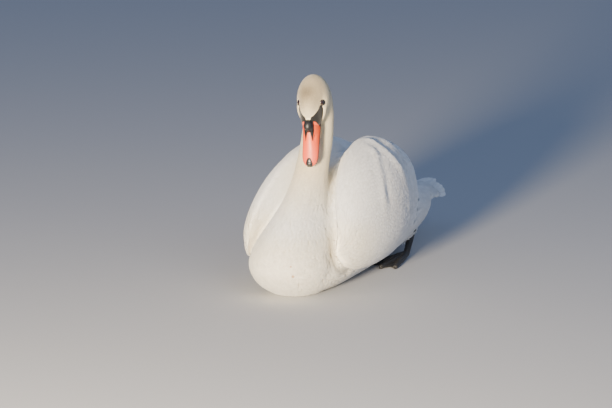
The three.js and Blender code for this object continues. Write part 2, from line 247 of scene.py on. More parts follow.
def head_place(points):
    """The head frame's x, s, h in mm of points in the shared frame."""
    p = from_row(points)
    p = rotate(p - HEAD_PIVOT, (0, 0, 1), np.full(len(p), -HEAD_TURN))
    p = rotate(p, (0, 1, 0), np.full(len(p), HEAD_ROLL)) + HEAD_PIVOT
    y, z = p[:, 1] - BILL_TIP[0], p[:, 2] - BILL_TIP[1]
    s = y * math.cos(BILL_PITCH) + z * math.sin(BILL_PITCH)
    h = -y * math.sin(BILL_PITCH) + z * math.cos(BILL_PITCH)
    return np.stack([p[:, 0], s, h], -1)


def trunk_point(t, angle):
    at = sample(TRUNK, TRUNK_KEYS, t)
    middle = at["bottom"] + (at["top"] - at["bottom"]) * TRUNK_WIDEST
    up = np.cos(angle)
    reach = np.where(up > 0, at["top"] - middle, middle - at["bottom"])
    return to_row(at["half"] * np.sin(angle), at["y"] + 0 * up, np.maximum(0, middle + reach * up))


def column_point(t, angle):
    at = sample(COLUMN, COLUMN_KEYS, t)
    cy, cz = (at["fy"] + at["by"]) / 2, (at["fz"] + at["bz"]) / 2
    x = at["half"] * np.sin(angle)
    y = cy + (at["by"] - cy) * np.cos(angle)
    z = np.maximum(0, cz + (at["bz"] - cz) * np.cos(angle))
    return turn_head(np.stack([x, y, z], -1), smooth((t - TURN_FROM) / (TURN_TO - TURN_FROM)))


# Where one tract of wing feathers ends in a swell and a hollow: y on the crest, how far it slants
# forward per radian round the wing, height of the swell, and its reach round the wing in radians.
FOLDS = {
    "wing_left": [
        (310, 70, 3.8, 0.35, 1.15),
        (350, -25, 5.2, 0.30, 1.05),
        (400, -60, 4.8, 0.25, 0.95),
    ],
    "wing_right": [
        (300, 40, 2.4, 0.3, 1.2),
        (352, -20, 2.8, 0.3, 1.1),
        (420, -40, 2.4, 0.2, 0.9),
    ],
}
FOLD_SWELL, FOLD_HOLLOW = 15.0, 10.0  # their lengths along the wing
STREAK = 1.5  # height of the soft upright streaks on the flank


def fold_height(wing, y, angle):
    """Height in mm of the swells and hollows at place y and angle round the wing."""
    round_wing = np.mod(angle + np.pi, 2 * np.pi) - np.pi
    height = 0.0
    for crest_y, slant, rise, start, stop in FOLDS[wing]:
        wobble = 5 * np.sin(6.5 * round_wing + crest_y) + 3 * np.sin(15 * round_wing + 2 * crest_y)
        away = y - (crest_y - slant * (round_wing - start)) + wobble
        swell = np.exp(-(((away + 1.1 * FOLD_SWELL) / FOLD_SWELL) ** 2))
        hollow = np.exp(-((away / FOLD_HOLLOW) ** 2))
        reach = smooth((round_wing - start + 0.45) / 0.35) * smooth((stop + 0.35 - round_wing) / 0.5)
        patchy = 0.72 + 0.28 * np.sin(10 * round_wing + 0.7 * crest_y)
        height = height + rise * reach * patchy * (swell - hollow)
    flank = smooth((round_wing - 1.0) / 0.35) * smooth((2.6 - round_wing) / 0.5)
    flank = flank * smooth((y - 320) / 60) * smooth((600 - y) / 60)
    streaks = np.sin(y / 4.1 + 2.2 * np.sin(y / 31 + 1.3 * round_wing))
    streaks = streaks + 0.6 * np.sin(y / 7.3 + 2 * round_wing)
    return height + STREAK * flank * streaks


def wing_point(wing):
    side, lift, width, shoulder = WINGS[wing]

    def point(t, angle):
        at = sample(WING, WING_KEYS, t)
        crest = at["top"] + lift * np.clip((at["top"] - at["outZ"]) / 100, 0, 1)
        outer = at["topX"] + (at["out"] - at["topX"]) * width
        c, s = np.cos(angle), np.sin(angle)
        n = np.where((c > 0) & (s > 0), shoulder, 2)
        mid_x = np.where(c > 0, at["topX"], at["lowX"])
        mid_z = np.where(s > 0, at["outZ"], at["inZ"])
        x = mid_x + np.where(s > 0, outer - mid_x, mid_x - at["inward"]) * power(s, n)
        z = mid_z + np.where(c > 0, crest - mid_z, mid_z - at["low"]) * power(c, n)
        fold = fold_height(wing, at["y"], angle)
        return to_row(side * (x + fold * s), at["y"] + 0 * x, z + fold * c)

    return point


def tail_point(t, angle):
    at = sample(TAIL, TAIL_KEYS, t)
    x = at["half"] * np.sin(angle)
    sag = TAIL_DROOP * np.abs(x) * np.abs(np.sin(angle))
    return to_row(x, at["y"] + 0 * x, at["z"] - sag + at["thick"] * np.cos(angle))


# name: point function, last station, direction of the feathers along t
FORMS = {
    "trunk": (trunk_point, len(TRUNK) - 1, 1),
    "column": (column_point, len(COLUMN) - 1, -1),
    "wing_left": (wing_point("wing_left"), len(WING) - 1, 1),
    "wing_right": (wing_point("wing_right"), len(WING) - 1, 1),
    "tail": (tail_point, len(TAIL) - 1, 1),
}


# Mesh helpers
def new_object(name, verts, faces, material=None, shade=True):
    mesh = bpy.data.meshes.new(name)
    mesh.from_pydata([tuple(v) for v in np.asarray(verts).tolist()], [], faces)
    mesh.validate()
    obj = bpy.data.objects.new(name, mesh)
    bpy.context.scene.collection.objects.link(obj)
    if material:
        mesh.materials.append(material)
    if shade:
        mesh.shade_smooth()
    return obj


def loft(points):
    """Closed mesh through rings of points (rings, count, 3), with a fan to the middle of each end."""
    rings, count = points.shape[:2]
    faces = []
    for r in range(rings - 1):
        for i in range(count):
            a, b = r * count + i, r * count + (i + 1) % count
            faces.append((a, b, b + count, a + count))
    head, tail, last = rings * count, rings * count + 1, (rings - 1) * count
    for i in range(count):
        j = (i + 1) % count
        faces += [(head, j, i), (tail, last + i, last + j)]
    return np.concatenate([points.reshape(-1, 3), points[0].mean(0)[None], points[-1].mean(0)[None]]), faces


def join_parts(parts):
    verts, faces, base = [], [], 0
    for part_verts, part_faces in parts:
        verts.append(part_verts)
        faces += [tuple(i + base for i in f) for f in part_faces]
        base += len(part_verts)
    return np.concatenate(verts), faces


def bake_modifiers(obj):
    """The object's mesh with its modifiers applied."""
    depsgraph = bpy.context.evaluated_depsgraph_get()
    mesh = bpy.data.meshes.new_from_object(obj.evaluated_get(depsgraph))
    old = obj.data
    obj.modifiers.clear()
    obj.data = mesh
    bpy.data.meshes.remove(old)


def edit_mesh(mesh, change):
    """Runs change(bm) on the mesh."""
    bm = bmesh.new()
    bm.from_mesh(mesh)
    change(bm)
    bm.to_mesh(mesh)
    bm.free()


def face_outwards(bm):
    bmesh.ops.recalc_face_normals(bm, faces=bm.faces)


def set_material(obj, material):
    obj.data.materials.clear()
    obj.data.materials.append(material)
    obj.data.shade_smooth()


def read_vectors(items, key):
    out = np.empty(len(items) * 3)
    items.foreach_get(key, out)
    return out.reshape(-1, 3)


def coords(mesh):
    return read_vectors(mesh.vertices, "co")


def normals(mesh):
    return read_vectors(mesh.vertex_normals, "vector")


def triangles(mesh):
    mesh.calc_loop_triangles()
    out = np.empty(len(mesh.loop_triangles) * 3, np.int32)
    mesh.loop_triangles.foreach_get("vertices", out)
    return out.reshape(-1, 3)


def tree_from(verts, faces):
    return BVHTree.FromPolygons([Vector(v) for v in verts.tolist()], faces)


def tree_of(mesh):
    return tree_from(coords(mesh), triangles(mesh).tolist())


def set_coords(mesh, points):
    mesh.vertices.foreach_set("co", np.ascontiguousarray(points, dtype=np.float32).ravel())
    mesh.update()


def put_attribute(mesh, name, kind, values):
    attribute = mesh.attributes.new(name, kind, "POINT")
    key = {"FLOAT_VECTOR": "vector", "FLOAT_COLOR": "color", "FLOAT": "value"}[kind]
    attribute.data.foreach_set(key, np.ascontiguousarray(values, dtype=np.float32).ravel())


def put_coat_colour(mesh, colours):
    put_attribute(mesh, "coat", "FLOAT_COLOR", np.concatenate([colours, np.ones((len(colours), 1))], 1))


def put_place(mesh):
    """Each point's x, s and h in the head's frame, for the materials."""
    put_attribute(mesh, "place", "FLOAT_VECTOR", head_place(coords(mesh)))


def add_modifier(obj, kind, **settings):
    modifier = obj.modifiers.new(kind.lower(), kind)
    for key, value in settings.items():
        setattr(modifier, key, value)
    return modifier


def blend(value, *steps):
    """value drawn towards each target in turn, by its share."""
    for target, share in steps:
        value = value + (target - value) * share
    return value


# Markings: cream neck, buff crown, white body; in linear colour
WHITE = np.array([0.86, 0.86, 0.85])
CREAM = np.array([0.84, 0.74, 0.50])
BUFF = np.array([0.48, 0.38, 0.24])
STAIN = np.array([0.18, 0.14, 0.09])
SPECKS = [(42, 13, 84, 2.2), (47, 14, 62, 3.2)]  # mud on the breast: place and radius in mm
SPECK_BROWN = (0.42, 0.20, 0.05, 1)


def markings(points):
    """Plumage colour at points (n, 3)."""
    across, s, h = head_place(points).T[:, :, None]
    x, y, z = from_row(points).T[:, :, None]
    neck = smooth((z - 150) / 150) * smooth((275 - y) / 40) * smooth((70 - np.abs(x)) / 30)
    breast = 0.5 * smooth((210 - y) / 90) * smooth((180 - z) / 60)
    head = smooth((z - 385) / 40) * smooth((255 - y) / 30)
    crown = head * smooth((h - 8) / 26) * smooth((s - 100) / 20)
    spot = np.exp(-((across + 3) ** 2 / 380 + (s - 152) ** 2 / 380 + (h - 44) ** 2 / 400))
    colour = blend(WHITE, (CREAM, neck), (CREAM, breast), (BUFF, 0.75 * crown), (STAIN, 0.9 * spot))
    return np.clip(colour, 0, 1)


# Materials
class Field:
    """A value that changes over the surface: one output of a shader node."""

    def __init__(self, shader, socket):
        self.shader, self.socket = shader, socket

    def math(self, operation, other=0.0):
        return self.shader.field("Math", {0: self, 1: other}, operation=operation)

    def __add__(self, other):
        return self.math("ADD", other)

    def __sub__(self, other):
        return self.math("SUBTRACT", other)

    def __mul__(self, other):
        return self.math("MULTIPLY", other)

    def __abs__(self):
        return self.math("ABSOLUTE")

    def at_least(self, other):
        return self.math("MAXIMUM", other)

    def ramp(self, low, high, start=0.0, end=1.0):
        """Eases from start, where this is low, to end, where it is high."""
        inputs = {0: self, 1: low, 2: high, 3: start, 4: end}
        return self.shader.field("MapRange", inputs, interpolation_type="SMOOTHSTEP")

    def beyond(self, edge, soft):
        """1 where this is over the edge, 0 under it, softened on either side."""
        return (self - edge).ramp(-soft, soft)

    def split(self):
        return [Field(self.shader, out) for out in self.shader.node("SeparateXYZ", {0: self}).outputs]


class Shader:
    """A material with its node tree; names such as base_color stand for Principled's inputs."""

    def __init__(self, name, **principled):
        self.material = bpy.data.materials.new(name)
        self.material.use_nodes = True
        self.tree = self.material.node_tree
        for key, value in principled.items():
            self.input(key).default_value = value

    def input(self, key):
        name = key.replace("_", " ").title().replace("Ior", "IOR")
        return self.tree.nodes["Principled BSDF"].inputs[name]

    def node(self, kind, inputs, **settings):
        node = self.tree.nodes.new("ShaderNode" + kind)
        for key, value in settings.items():
            setattr(node, key, value)
        for key, value in inputs.items():
            if isinstance(value, Field):
                self.tree.links.new(value.socket, node.inputs[key])
            else:
                node.inputs[key].default_value = value
        return node

    def field(self, kind, inputs, output=0, **settings):
        return Field(self, self.node(kind, inputs, **settings).outputs[output])

    def position(self):
        return self.field("NewGeometry", {}, "Position")

    def attribute(self, name, output="Vector"):
        return self.field("Attribute", {}, output, attribute_name=name)

    def mix(self, factor, a, b):
        return self.field("Mix", {0: factor, 6: a, 7: b}, 2, data_type="RGBA")

    def noise(self, scale, detail=3.0):
        inputs = {"Vector": self.position(), "Scale": scale, "Detail": detail, "Roughness": 0.55}
        return self.field("TexNoise", inputs, "Fac")

    def distance(self, place, centre):
        return self.field("VectorMath", {0: place, 1: centre}, "Value", operation="DISTANCE")

    def finish(self, colour, height=None, distance=0.0, strength=1.0):
        """The material with its colour, and a bump of the height over the distance in metres."""
        self.tree.links.new(colour.socket, self.input("base_color"))
        if height:
            inputs = {"Height": height, "Distance": distance, "Strength": strength}
            self.tree.links.new(self.node("Bump", inputs).outputs["Normal"], self.input("normal"))
        return self.material


BLACK = (0.008, 0.008, 0.009, 1)
ORANGE = (0.66, 0.085, 0.018, 1)
PINK = (0.68, 0.10, 0.05, 1)
# the next colour is a painted highlight along the top of the bill's ridge
RIDGE_HIGHLIGHT_PINK = (0.82, 0.24, 0.14, 1)
BLOTCH_RED = (0.45, 0.05, 0.012, 1)
# The lore's corners in the head's frame: the V's tip, the brow over it, the eye and the gape
LORE = {
    "tip_x": 4.5,
    "tip_s": 99,
    "brow_h": 38,
    "eye_x": 22,
    "eye_s": 137,
    "eye_h": 20,
    "gape_h": 0.5,
    "gape_s": 92,
}
LORE_OPENING = (LORE["eye_x"] - LORE["tip_x"]) / (LORE["eye_s"] - LORE["tip_s"])
LORE_FALL = (LORE["eye_h"] + 4 - LORE["brow_h"]) / (LORE["eye_s"] - LORE["tip_s"])
LORE_RISE = (LORE["eye_h"] - LORE["gape_h"]) / (LORE["eye_s"] - LORE["gape_s"])
LORE_START, LORE_OUT = 80.0, 42.0  # it lies behind this s and within this x
LORE_SOFT, LOBE_SOFT = 0.35, 0.4  # half widths of the edges
LOBE = {"s": 96.0, "x": 14.0, "fall": 0.22}  # how far back the orange reaches, and its rounding outwards


def lobe_edge(across):
    """The s at which the orange ends."""
    past = (across - LOBE["x"]).at_least(0.0)
    return past * past * -LOBE["fall"] + LOBE["s"]


def lore_mask(shader):
    """1 on the bare skin between the eye and the bill."""
    place = shader.attribute("place")
    x, s, h = place.split()
    across = abs(x)
    # the forehead's feathers come down in a V to the knob; the cheek's end on a line from gape to eye
    forehead = s.at_least(LORE["tip_s"]) * LORE_OPENING + (LORE["tip_x"] - LORE["tip_s"] * LORE_OPENING)
    cheek = s * LORE_RISE + (LORE["gape_h"] - LORE["gape_s"] * LORE_RISE)
    brow = s * LORE_FALL + (LORE["brow_h"] - LORE["tip_s"] * LORE_FALL)
    inside = across.beyond(forehead, LORE_SOFT) * h.beyond(cheek, LORE_SOFT) * brow.beyond(h, LORE_SOFT)
    inside = inside * s.ramp(LORE["eye_s"] + 1.5, LORE["eye_s"] + 0.5) * s.ramp(LORE_START, LORE_START + 2)
    # the ring is round the eye as seen from the side
    away = shader.distance(place, (0, EYE["s"], EYE["h"]))
    from_eye = (away * away - across * across).math("SQRT")
    ring = from_eye.ramp(EYE_RING + 0.3, EYE_RING - 0.3)
    return inside.at_least(ring) * across.ramp(LORE_OUT, LORE_OUT - 2)


def lore_area(place, margin):
    """The same area for points given as x, s, h in mm."""
    across, s, h = np.abs(place[:, 0]), place[:, 1], place[:, 2]
    forehead = LORE["tip_x"] + (np.maximum(s, LORE["tip_s"]) - LORE["tip_s"]) * LORE_OPENING
    cheek = LORE["gape_h"] + (s - LORE["gape_s"]) * LORE_RISE
    inside = (across > forehead - margin) & (h > cheek - margin) & (across < LORE_OUT)
    brow = LORE["brow_h"] + (s - LORE["tip_s"]) * LORE_FALL
    return inside & (h < brow + margin) & (s < LORE["eye_s"] + 1 + margin) & (s > LORE_START)


def feather_colour(name):
    """A white feather's shader and its colour: the mesh's own, mottled, with the specks of mud."""
    shader = Shader(
        name,
        roughness=0.8,
        subsurface_weight=0.45,
        subsurface_radius=(1.0, 0.85, 0.7),
        subsurface_scale=0.006,
        sheen_weight=0.2,
        sheen_roughness=0.5,
        specular_ior_level=0.25,
    )
    mottled = shader.noise(260.0) * 0.16 + 0.92
    factors = {0: shader.attribute("coat", "Color"), 1: mottled}
    colour = shader.field("VectorMath", factors, operation="MULTIPLY")
    for x, y, z, radius in SPECKS:
        away = shader.distance(shader.position(), tuple(to_row(x, y, z).tolist()))
        speck = away.ramp((radius + 1.0) / 1000, (radius - 1.0) / 1000)
        colour = shader.mix(speck * 0.75, colour, SPECK_BROWN)
    return shader, colour


def skin_material():
    """Feathered skin, with the black lore and the orange lobes beside the knob."""
    shader, colour = feather_colour("skin")
    x, s, h = shader.attribute("place").split()
    across = abs(x)
    lobe = lobe_edge(across).beyond(s, LOBE_SOFT) * h.ramp(1.5, 2.5) * across.ramp(10.5, 12.0)
    colour = shader.mix(lore_mask(shader), colour, shader.mix(lobe, BLACK, ORANGE))
    return shader.finish(colour, shader.noise(900.0, 4.0), 0.0006, 0.5)


def plumage_material():
    """Vanes with barbs that run from the shaft outwards and towards the tip, and down over them."""
    shader, colour = feather_colour("plumage")
    across, along_vane, _ = shader.field("UVMap", {}, uv_map="vane").split()
    barbs = ((along_vane - abs(across) * 1.6) * (2 * math.pi / 0.7)).math("SINE")
    return shader.finish(colour, barbs * 0.12 + shader.noise(700.0, 4.0), 0.0004, 0.35)


def bill_material():
    """Orange-pink horn with a painted highlight along the ridge, black at the edges, round the nostrils and
    at the base.
    """
    shader = Shader(
        "bill",
        roughness=0.42,
        subsurface_weight=0.08,
        subsurface_radius=(1.0, 0.4, 0.2),
        subsurface_scale=0.002,
        specular_ior_level=0.35,
    )
    x, s, h = shader.attribute("place").split()
    across = abs(x)
    colour = shader.mix(s.ramp(80.0, 15.0), ORANGE, PINK)
    # painted highlight: the top of the ridge is drawn a lighter pink, as if lit
    colour = shader.mix(across.ramp(6.5, 1.0) * 0.25, colour, RIDGE_HIGHLIGHT_PINK)
    colour = shader.mix(shader.noise(120.0) * 0.25, colour, BLOTCH_RED)
    # black prongs either side of the ridge, running forward from the knob round the nostrils
    from_prong = abs(across - (s * -0.04 + 9.8))
    prong = s.ramp(53.0, 80.0, 0.5, 4.8).beyond(from_prong, LORE_SOFT) * s.ramp(53.5, 55.5)
    root = across.ramp(12.0, 10.5) * s.ramp(78.0, 82.0)
    base = s.beyond(lobe_edge(across), LOBE_SOFT).at_least(root)
    cutting_edge = h.ramp(1.9, 1.2) * h.ramp(-1.6, -1.1) * s.ramp(6.0, 20.0)
    colour = shader.mix(prong.at_least(base).at_least(cutting_edge), colour, BLACK)
    return shader.finish(colour, shader.noise(600.0, 5.0), 0.0004, 0.35)


def horn_material(name, colour, roughness):
    shader = Shader(name, roughness=roughness)
    grain = shader.noise(420.0, 5.0)
    light = tuple(min(1, c * 2.2 + 0.008) for c in colour) + (1,)
    return shader.finish(shader.mix(grain * 0.5, colour + (1,), light), grain, 0.0004, 0.6)


PUPIL_EDGE = (0.48, 0.56)  # shares of the eyeball's radius
PUPIL_BLACK, IRIS_BROWN = (0.001, 0.001, 0.001, 1), (0.022, 0.010, 0.006, 1)


def eye_material():
    """Black pupil in a dark brown iris, under a wet coat."""
    shader = Shader("eye", roughness=0.03, coat_weight=1.0, coat_roughness=0.02)
    radius = shader.attribute("iris").split()[0]
    return shader.finish(shader.mix(radius.ramp(*PUPIL_EDGE), PUPIL_BLACK, IRIS_BROWN))


def leg_material():
    """Dark grey skin in small scales."""
    shader = Shader("leg_skin", roughness=0.55)
    cells = {"Vector": shader.position(), "Scale": 420.0}
    scale = shader.field("TexVoronoi", cells, feature="DISTANCE_TO_EDGE").ramp(0.0, 0.12)
    colour = shader.mix(shader.noise(60.0), (0.018, 0.018, 0.02, 1), (0.05, 0.048, 0.046, 1))
    return shader.finish(shader.mix(scale, BLACK, colour), scale, 0.0006, 0.7)


# The skin
VOXEL = 0.0028
RING_POINTS = {"trunk": 72, "column": 64, "wing_left": 64, "wing_right": 64, "tail": 48}
STATION_RINGS = 8  # rings of the form from one station to the next
FORM_SMOOTHING, FACE_SMOOTHING = 8, 6  # rounds
FACE_Y, FACE_Z = -0.205, 0.372  # metres; the finer faces are forward of the one and above the other
GROOVE_Y, GROOVE_Z = (90, 360), (40, 300)  # mm; where a wing's front lies against the breast and neck
TAIL_STOP = 2.5  # station where the tail's flesh ends and only its feathers go on


def coat_depth(points):
    """Thickness of the plumage in metres: thin on the face, deeper down the neck and body."""
    s = head_place(points)[:, 1]
    x, y, z = from_row(points).T
    neck = smooth((z - 170) / 120) * smooth((285 - y) / 30) * smooth((62 - np.abs(x)) / 14)
    head = smooth((z - 360) / 50) * smooth((275 - y) / 20)
    face = head * smooth((132 - s) / 26)
    front, rump = smooth((300 - y) / 140), smooth((y - 680) / 70)
    return blend(4.2, (3.0, front), (1.7, neck), (0.9, head), (0.35, face), (1.7, rump)) / 1000


def build_form():
    """Trunk, neck, head, wings and tail root run together into one closed surface."""
    lofts = {}
    for name, (point, last, _) in FORMS.items():
        stop = last if name != "tail" else TAIL_STOP
        t = np.linspace(0.0, stop, int(stop * STATION_RINGS) + 1)
        angle = np.linspace(0, 2 * np.pi, RING_POINTS[name], endpoint=False)
        sign = 1 if name in ("trunk", "wing_left", "tail") else -1
        lofts[name] = loft(point(t[:, None] + 0 * angle, sign * angle[None, :] + 0 * t[:, None]))
    form = new_object("form", *join_parts(lofts.values()))
    add_modifier(form, "REMESH", mode="VOXEL", voxel_size=VOXEL, adaptivity=0.0)
    add_modifier(form, "SMOOTH", factor=0.5, iterations=FORM_SMOOTHING)
    bake_modifiers(form)
    deepen_grooves(form, lofts)
    return form


GROOVES = {"wing_left": 12.0, "wing_right": 4.0}  # mm
GROOVE_REACH = 8.0


def deepen_grooves(form, lofts):
    """Draws the form in where a wing's front meets the breast and the neck."""
    points, normal = coords(form.data), normals(form.data)
    x, y, z = from_row(points).T
    near_front = (y > GROOVE_Y[0]) & (y < GROOVE_Y[1]) & (z > GROOVE_Z[0]) & (z < GROOVE_Z[1])
    body = tree_from(*join_parts([lofts["trunk"], lofts["column"]]))
    for wing, deep in GROOVES.items():
        tree = tree_from(*lofts[wing])
        side = WINGS[wing][0]
        for i in np.nonzero(near_front & (x * side > 20))[0]:
            gaps = [near.find_nearest(Vector(points[i]))[3] * 1000 for near in (body, tree)]
            close = math.exp(-(gaps[0] ** 2 + gaps[1] ** 2) / (2 * GROOVE_REACH**2))
            fade = float(smooth((GROOVE_Y[1] - y[i]) / 60))
            points[i] -= normal[i] * deep * close * fade / 1000
    set_coords(form.data, points)


def refine_head(form):
    """Finer faces on the face and crown."""

    def subdivide(bm):
        middles = [(edge, (edge.verts[0].co + edge.verts[1].co) / 2) for edge in bm.edges]
        edges = [edge for edge, mid in middles if mid.z > FACE_Z and mid.y < FACE_Y]
        bmesh.ops.subdivide_edges(bm, edges=edges, cuts=2, use_grid_fill=True)
        bmesh.ops.triangulate(bm, faces=[f for f in bm.faces if len(f.verts) > 4])

    edit_mesh(form.data, subdivide)
    points = coords(form.data)
    fine = np.nonzero((points[:, 2] > 0.37) & (points[:, 1] < -0.19))[0]
    form.vertex_groups.new(name="fine").add(fine.tolist(), 1.0, "REPLACE")
    add_modifier(form, "SMOOTH", factor=0.5, iterations=FACE_SMOOTHING, vertex_group="fine")
    bake_modifiers(form)
    form.vertex_groups.clear()


def bump_at(value, centre, reach):
    return np.exp(-(((value - centre) / reach) ** 2))


# Lore, brow, the line behind it, cheek: height, s and its reach, h at one s, its slope and its reach
FACE_RELIEF = [
    (-1.6, 117, 14, 17, 117, 0.1, 7),
    (1.4, 133, 17, 31, 117, -0.12, 4),
    (-1.0, 158, 12, 25, 150, 0.2, 3.5),
    (2.6, 122, 17, 3, 110, 0.4, 5.5),
]


def shape_face(points, normal):
    """Narrow forehead, hollow lore, brow, cheek and lids."""
    x, s, h = head_place(points).T
    head = points[:, 2] > HEAD_Z
    # the forehead is narrower than the cheeks
    narrow = 0.2 * smooth((h - 10) / 26) * smooth((s - 84) / 16) * smooth((166 - s) / 30) * head
    x = x * (1 - narrow)
    points = np.where((narrow > 0)[:, None], head_point(x, s, h), points)
    from_eye = np.hypot(s - EYE["s"], (h - EYE["h"]) * 1.15)
    lid = 0.7 * bump_at(from_eye, 6.2, 1.1)
    slit = np.where(from_eye < EYE_OPEN, -4.0 * smooth((EYE_OPEN - from_eye) / 1.0), 0)
    relief = lid + slit - 1.0 * bump_at(from_eye, 9.5, 3.5)
    for height, at_s, reach_s, at_h, from_s, slope, reach_h in FACE_RELIEF:
        line = at_h + slope * (s - from_s)
        relief = relief + height * bump_at(s, at_s, reach_s) * bump_at(h, line, reach_h)
    chin = 1.5 * bump_at(s, 95, 8) * bump_at(h, -11, 5) * head
    push = np.where(head & (np.abs(x) > 9), relief, 0) + chin
    return points + normal * (push / 1000)[:, None]


def build_skin(form, material):
    """The form drawn in by the depth of the coat, with the face shaped."""
    skin = bpy.data.objects.new("skin", form.data.copy())
    bpy.context.scene.collection.objects.link(skin)
    points, normal = coords(skin.data), normals(skin.data)
    points = shape_face(points - normal * coat_depth(points)[:, None], normal)
    points[:, 2] = np.maximum(points[:, 2], 0.0)
    set_coords(skin.data, points)
    put_attribute(skin.data, "place", "FLOAT_VECTOR", head_place(points))
    put_coat_colour(skin.data, markings(points))
    set_material(skin, material)
    return skin


# The lie of the feathers, and their places on an unwrap of the skin
ATLAS = {  # lower left corner and size of each form's rectangle
    "trunk": (0.02, 0.02, 0.46, 0.46),
    "column": (0.52, 0.02, 0.46, 0.46),
    "wing_left": (0.02, 0.52, 0.46, 0.46),
    "wing_right": (0.52, 0.52, 0.30, 0.46),
    "tail": (0.84, 0.52, 0.14, 0.46),
}


LIE_RINGS, LIE_POINTS, LIE_NEIGHBOURS = 6, 56, 7  # rings for each station, points round a ring
BURIED = 0.004  # metres; points of a form this deep in another one are left out


class Lie:
    """Nearest form, station, angle and feather direction for any point near the skin."""

    def __init__(self, form_tree):
        rows = []
        for name, (point, last, sign) in FORMS.items():
            t = np.linspace(0, last, last * LIE_RINGS + 1)
            angle = np.linspace(-np.pi, np.pi, LIE_POINTS, endpoint=False)
            tt, aa = [grid.ravel() for grid in np.meshgrid(t, angle, indexing="ij")]
            place = point(tt, aa)
            step = (point(np.minimum(tt + 0.02, last), aa) - point(np.maximum(tt - 0.02, 0), aa)) * sign
            step /= np.linalg.norm(step, axis=1)[:, None] + 1e-12
            for i in range(len(tt)):
                near, normal = form_tree.find_nearest(Vector(place[i]))[:2]
                if (Vector(place[i]) - near).dot(normal) >= -BURIED:
                    rows.append((place[i], step[i], name, tt[i], aa[i]))
        places, self.step, self.name, self.t, self.angle = zip(*rows)
        self.tree = KDTree(len(rows))
        for i, place in enumerate(places):
            self.tree.insert(Vector(place), i)
        self.tree.balance()

    def at(self, point):
        """name, station, angle, direction."""
        found = self.tree.find_n(Vector(point), LIE_NEIGHBOURS)
        best = found[0][1]
        weights = [1 / (distance + 0.002) for _, _, distance in found]
        direction = sum(self.step[i] * w for (_, i, _), w in zip(found, weights))
        return self.name[best], self.t[best], self.angle[best], direction

    def uv(self, name, t, angle):
        x, y, width, height = ATLAS[name]
        last = FORMS[name][1]
        return x + width * (angle / (2 * np.pi) + 0.5), y + height * t / last


# Vanes
OUTLINES = {  # along the vane: share of its length, share of its width
    "round": [(0.0, 0.0), (0.14, 0.62), (0.4, 0.95), (0.68, 1.0), (0.88, 0.74), (1.0, 0.0)],
    "tiny": [(0.0, 0.0), (0.3, 0.85), (0.7, 0.95), (1.0, 0.0)],
    "long": [(0, 0), (0.06, 0.5), (0.2, 0.85), (0.38, 1), (0.56, 1), (0.74, 0.95), (0.88, 0.75),
             (0.96, 0.45), (1, 0)],
    "quill": [(0, 0), (0.06, 0.4), (0.2, 0.7), (0.45, 0.95), (0.7, 1), (0.84, 0.82), (0.93, 0.5),
              (0.98, 0.2), (1, 0)],
}
PATCH_HALF = 0.0014  # half size of a vane's patch in OFBake


class Coat:
    """Collects feathers, each a thin closed vane, into one mesh."""

    def __init__(self, name, shape):
        self.name = name
        self.outline = OUTLINES[shape]
        self.verts, self.uvs, self.tones, self.patches = [], [], [], []

    def add(self, centres, lefts, rights, bottoms, width, length, patch, tone):
        """Rows of mesh points for one vane; the first and last rows are single points."""
        rows = [centres[0]]
        uv = [(0, 0)]
        for k in range(1, len(centres) - 1):
            rows += [lefts[k], centres[k], rights[k], bottoms[k]]
            v = self.outline[k][0] * length * 1000
            half = self.outline[k][1] * width * 1000 / 2
            uv += [(-half, v), (0, v), (half, v), (0, v)]
        rows.append(centres[-1])
        uv.append((0, length * 1000))
        self.verts.append(rows)
        self.uvs.append(uv)
        self.patches.append(patch)
        self.tones.append(tone)

    def build(self, material):
        verts = np.array(self.verts, float)
        count, per = verts.shape[:2]
        last = per - 5  # first point of the last row of four
        tris = [(0, 1 + i, 1 + (i + 1) % 4) for i in range(4)]
        tris += [(per - 1, last + (i + 1) % 4, last + i) for i in range(4)]
        quads = []
        for row in range(1, last, 4):
            for i in range(4):
                a, b = row + i, row + (i + 1) % 4
                quads.append((b, a, a + 4, b + 4))
        base = (np.arange(count) * per)[:, None]
        loops = np.concatenate([(np.ravel(faces) + base).ravel() for faces in (tris, quads)])
        loops = loops.astype(np.int32)
        sizes = np.repeat([3, 4], [count * len(tris), count * len(quads)])
        mesh = bpy.data.meshes.new(self.name)
        mesh.vertices.add(count * per)
        mesh.vertices.foreach_set("co", verts.astype(np.float32).ravel())
        mesh.loops.add(len(loops))
        mesh.loops.foreach_set("vertex_index", loops)
        mesh.polygons.add(len(sizes))
        mesh.polygons.foreach_set("loop_start", (np.cumsum(sizes) - sizes).astype(np.int32))
        mesh.update(calc_edges=True)
        mesh.validate()
        # sharp rim between the two faces of each vane
        rim = np.ones(per, bool)
        rim[1:-1] = np.arange(per - 2) % 2 == 0
        edges = np.empty(len(mesh.edges) * 2, np.int32)
        mesh.edges.foreach_get("vertices", edges)
        sharp = rim[edges.reshape(-1, 2) % per].all(1)
        mesh.attributes.new("sharp_edge", "BOOLEAN", "EDGE").data.foreach_set("value", sharp)
        # vane coordinates in mm, and a tiny patch at the root's place on the skin's unwrap
        uvs = np.array(self.uvs, float)
        spread = np.abs(uvs).max(axis=(1, 2), keepdims=True) + 1e-9
        small = np.array(self.patches, float)[:, None, :] + uvs / spread * PATCH_HALF
        for name, values in (("OFBake", small), ("vane", uvs)):
            layer = mesh.uv_layers.new(name=name)
            layer.data.foreach_set("uv", values.reshape(-1, 2)[loops].astype(np.float32).ravel())
        mesh.uv_layers["OFBake"].active_render = True
        put_coat_colour(mesh, np.repeat(np.array(self.tones, float), per, axis=0))
        mesh.materials.append(material)
        mesh.shade_smooth()
        obj = bpy.data.objects.new(self.name, mesh)
        bpy.context.scene.collection.objects.link(obj)
        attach(obj, "root")
        return obj


THROAT_Z = 0.25  # metres; above it no feather may jump from the chin to the neck
JUMP = 0.3  # share of the feather's length by which the surface may fall away under it


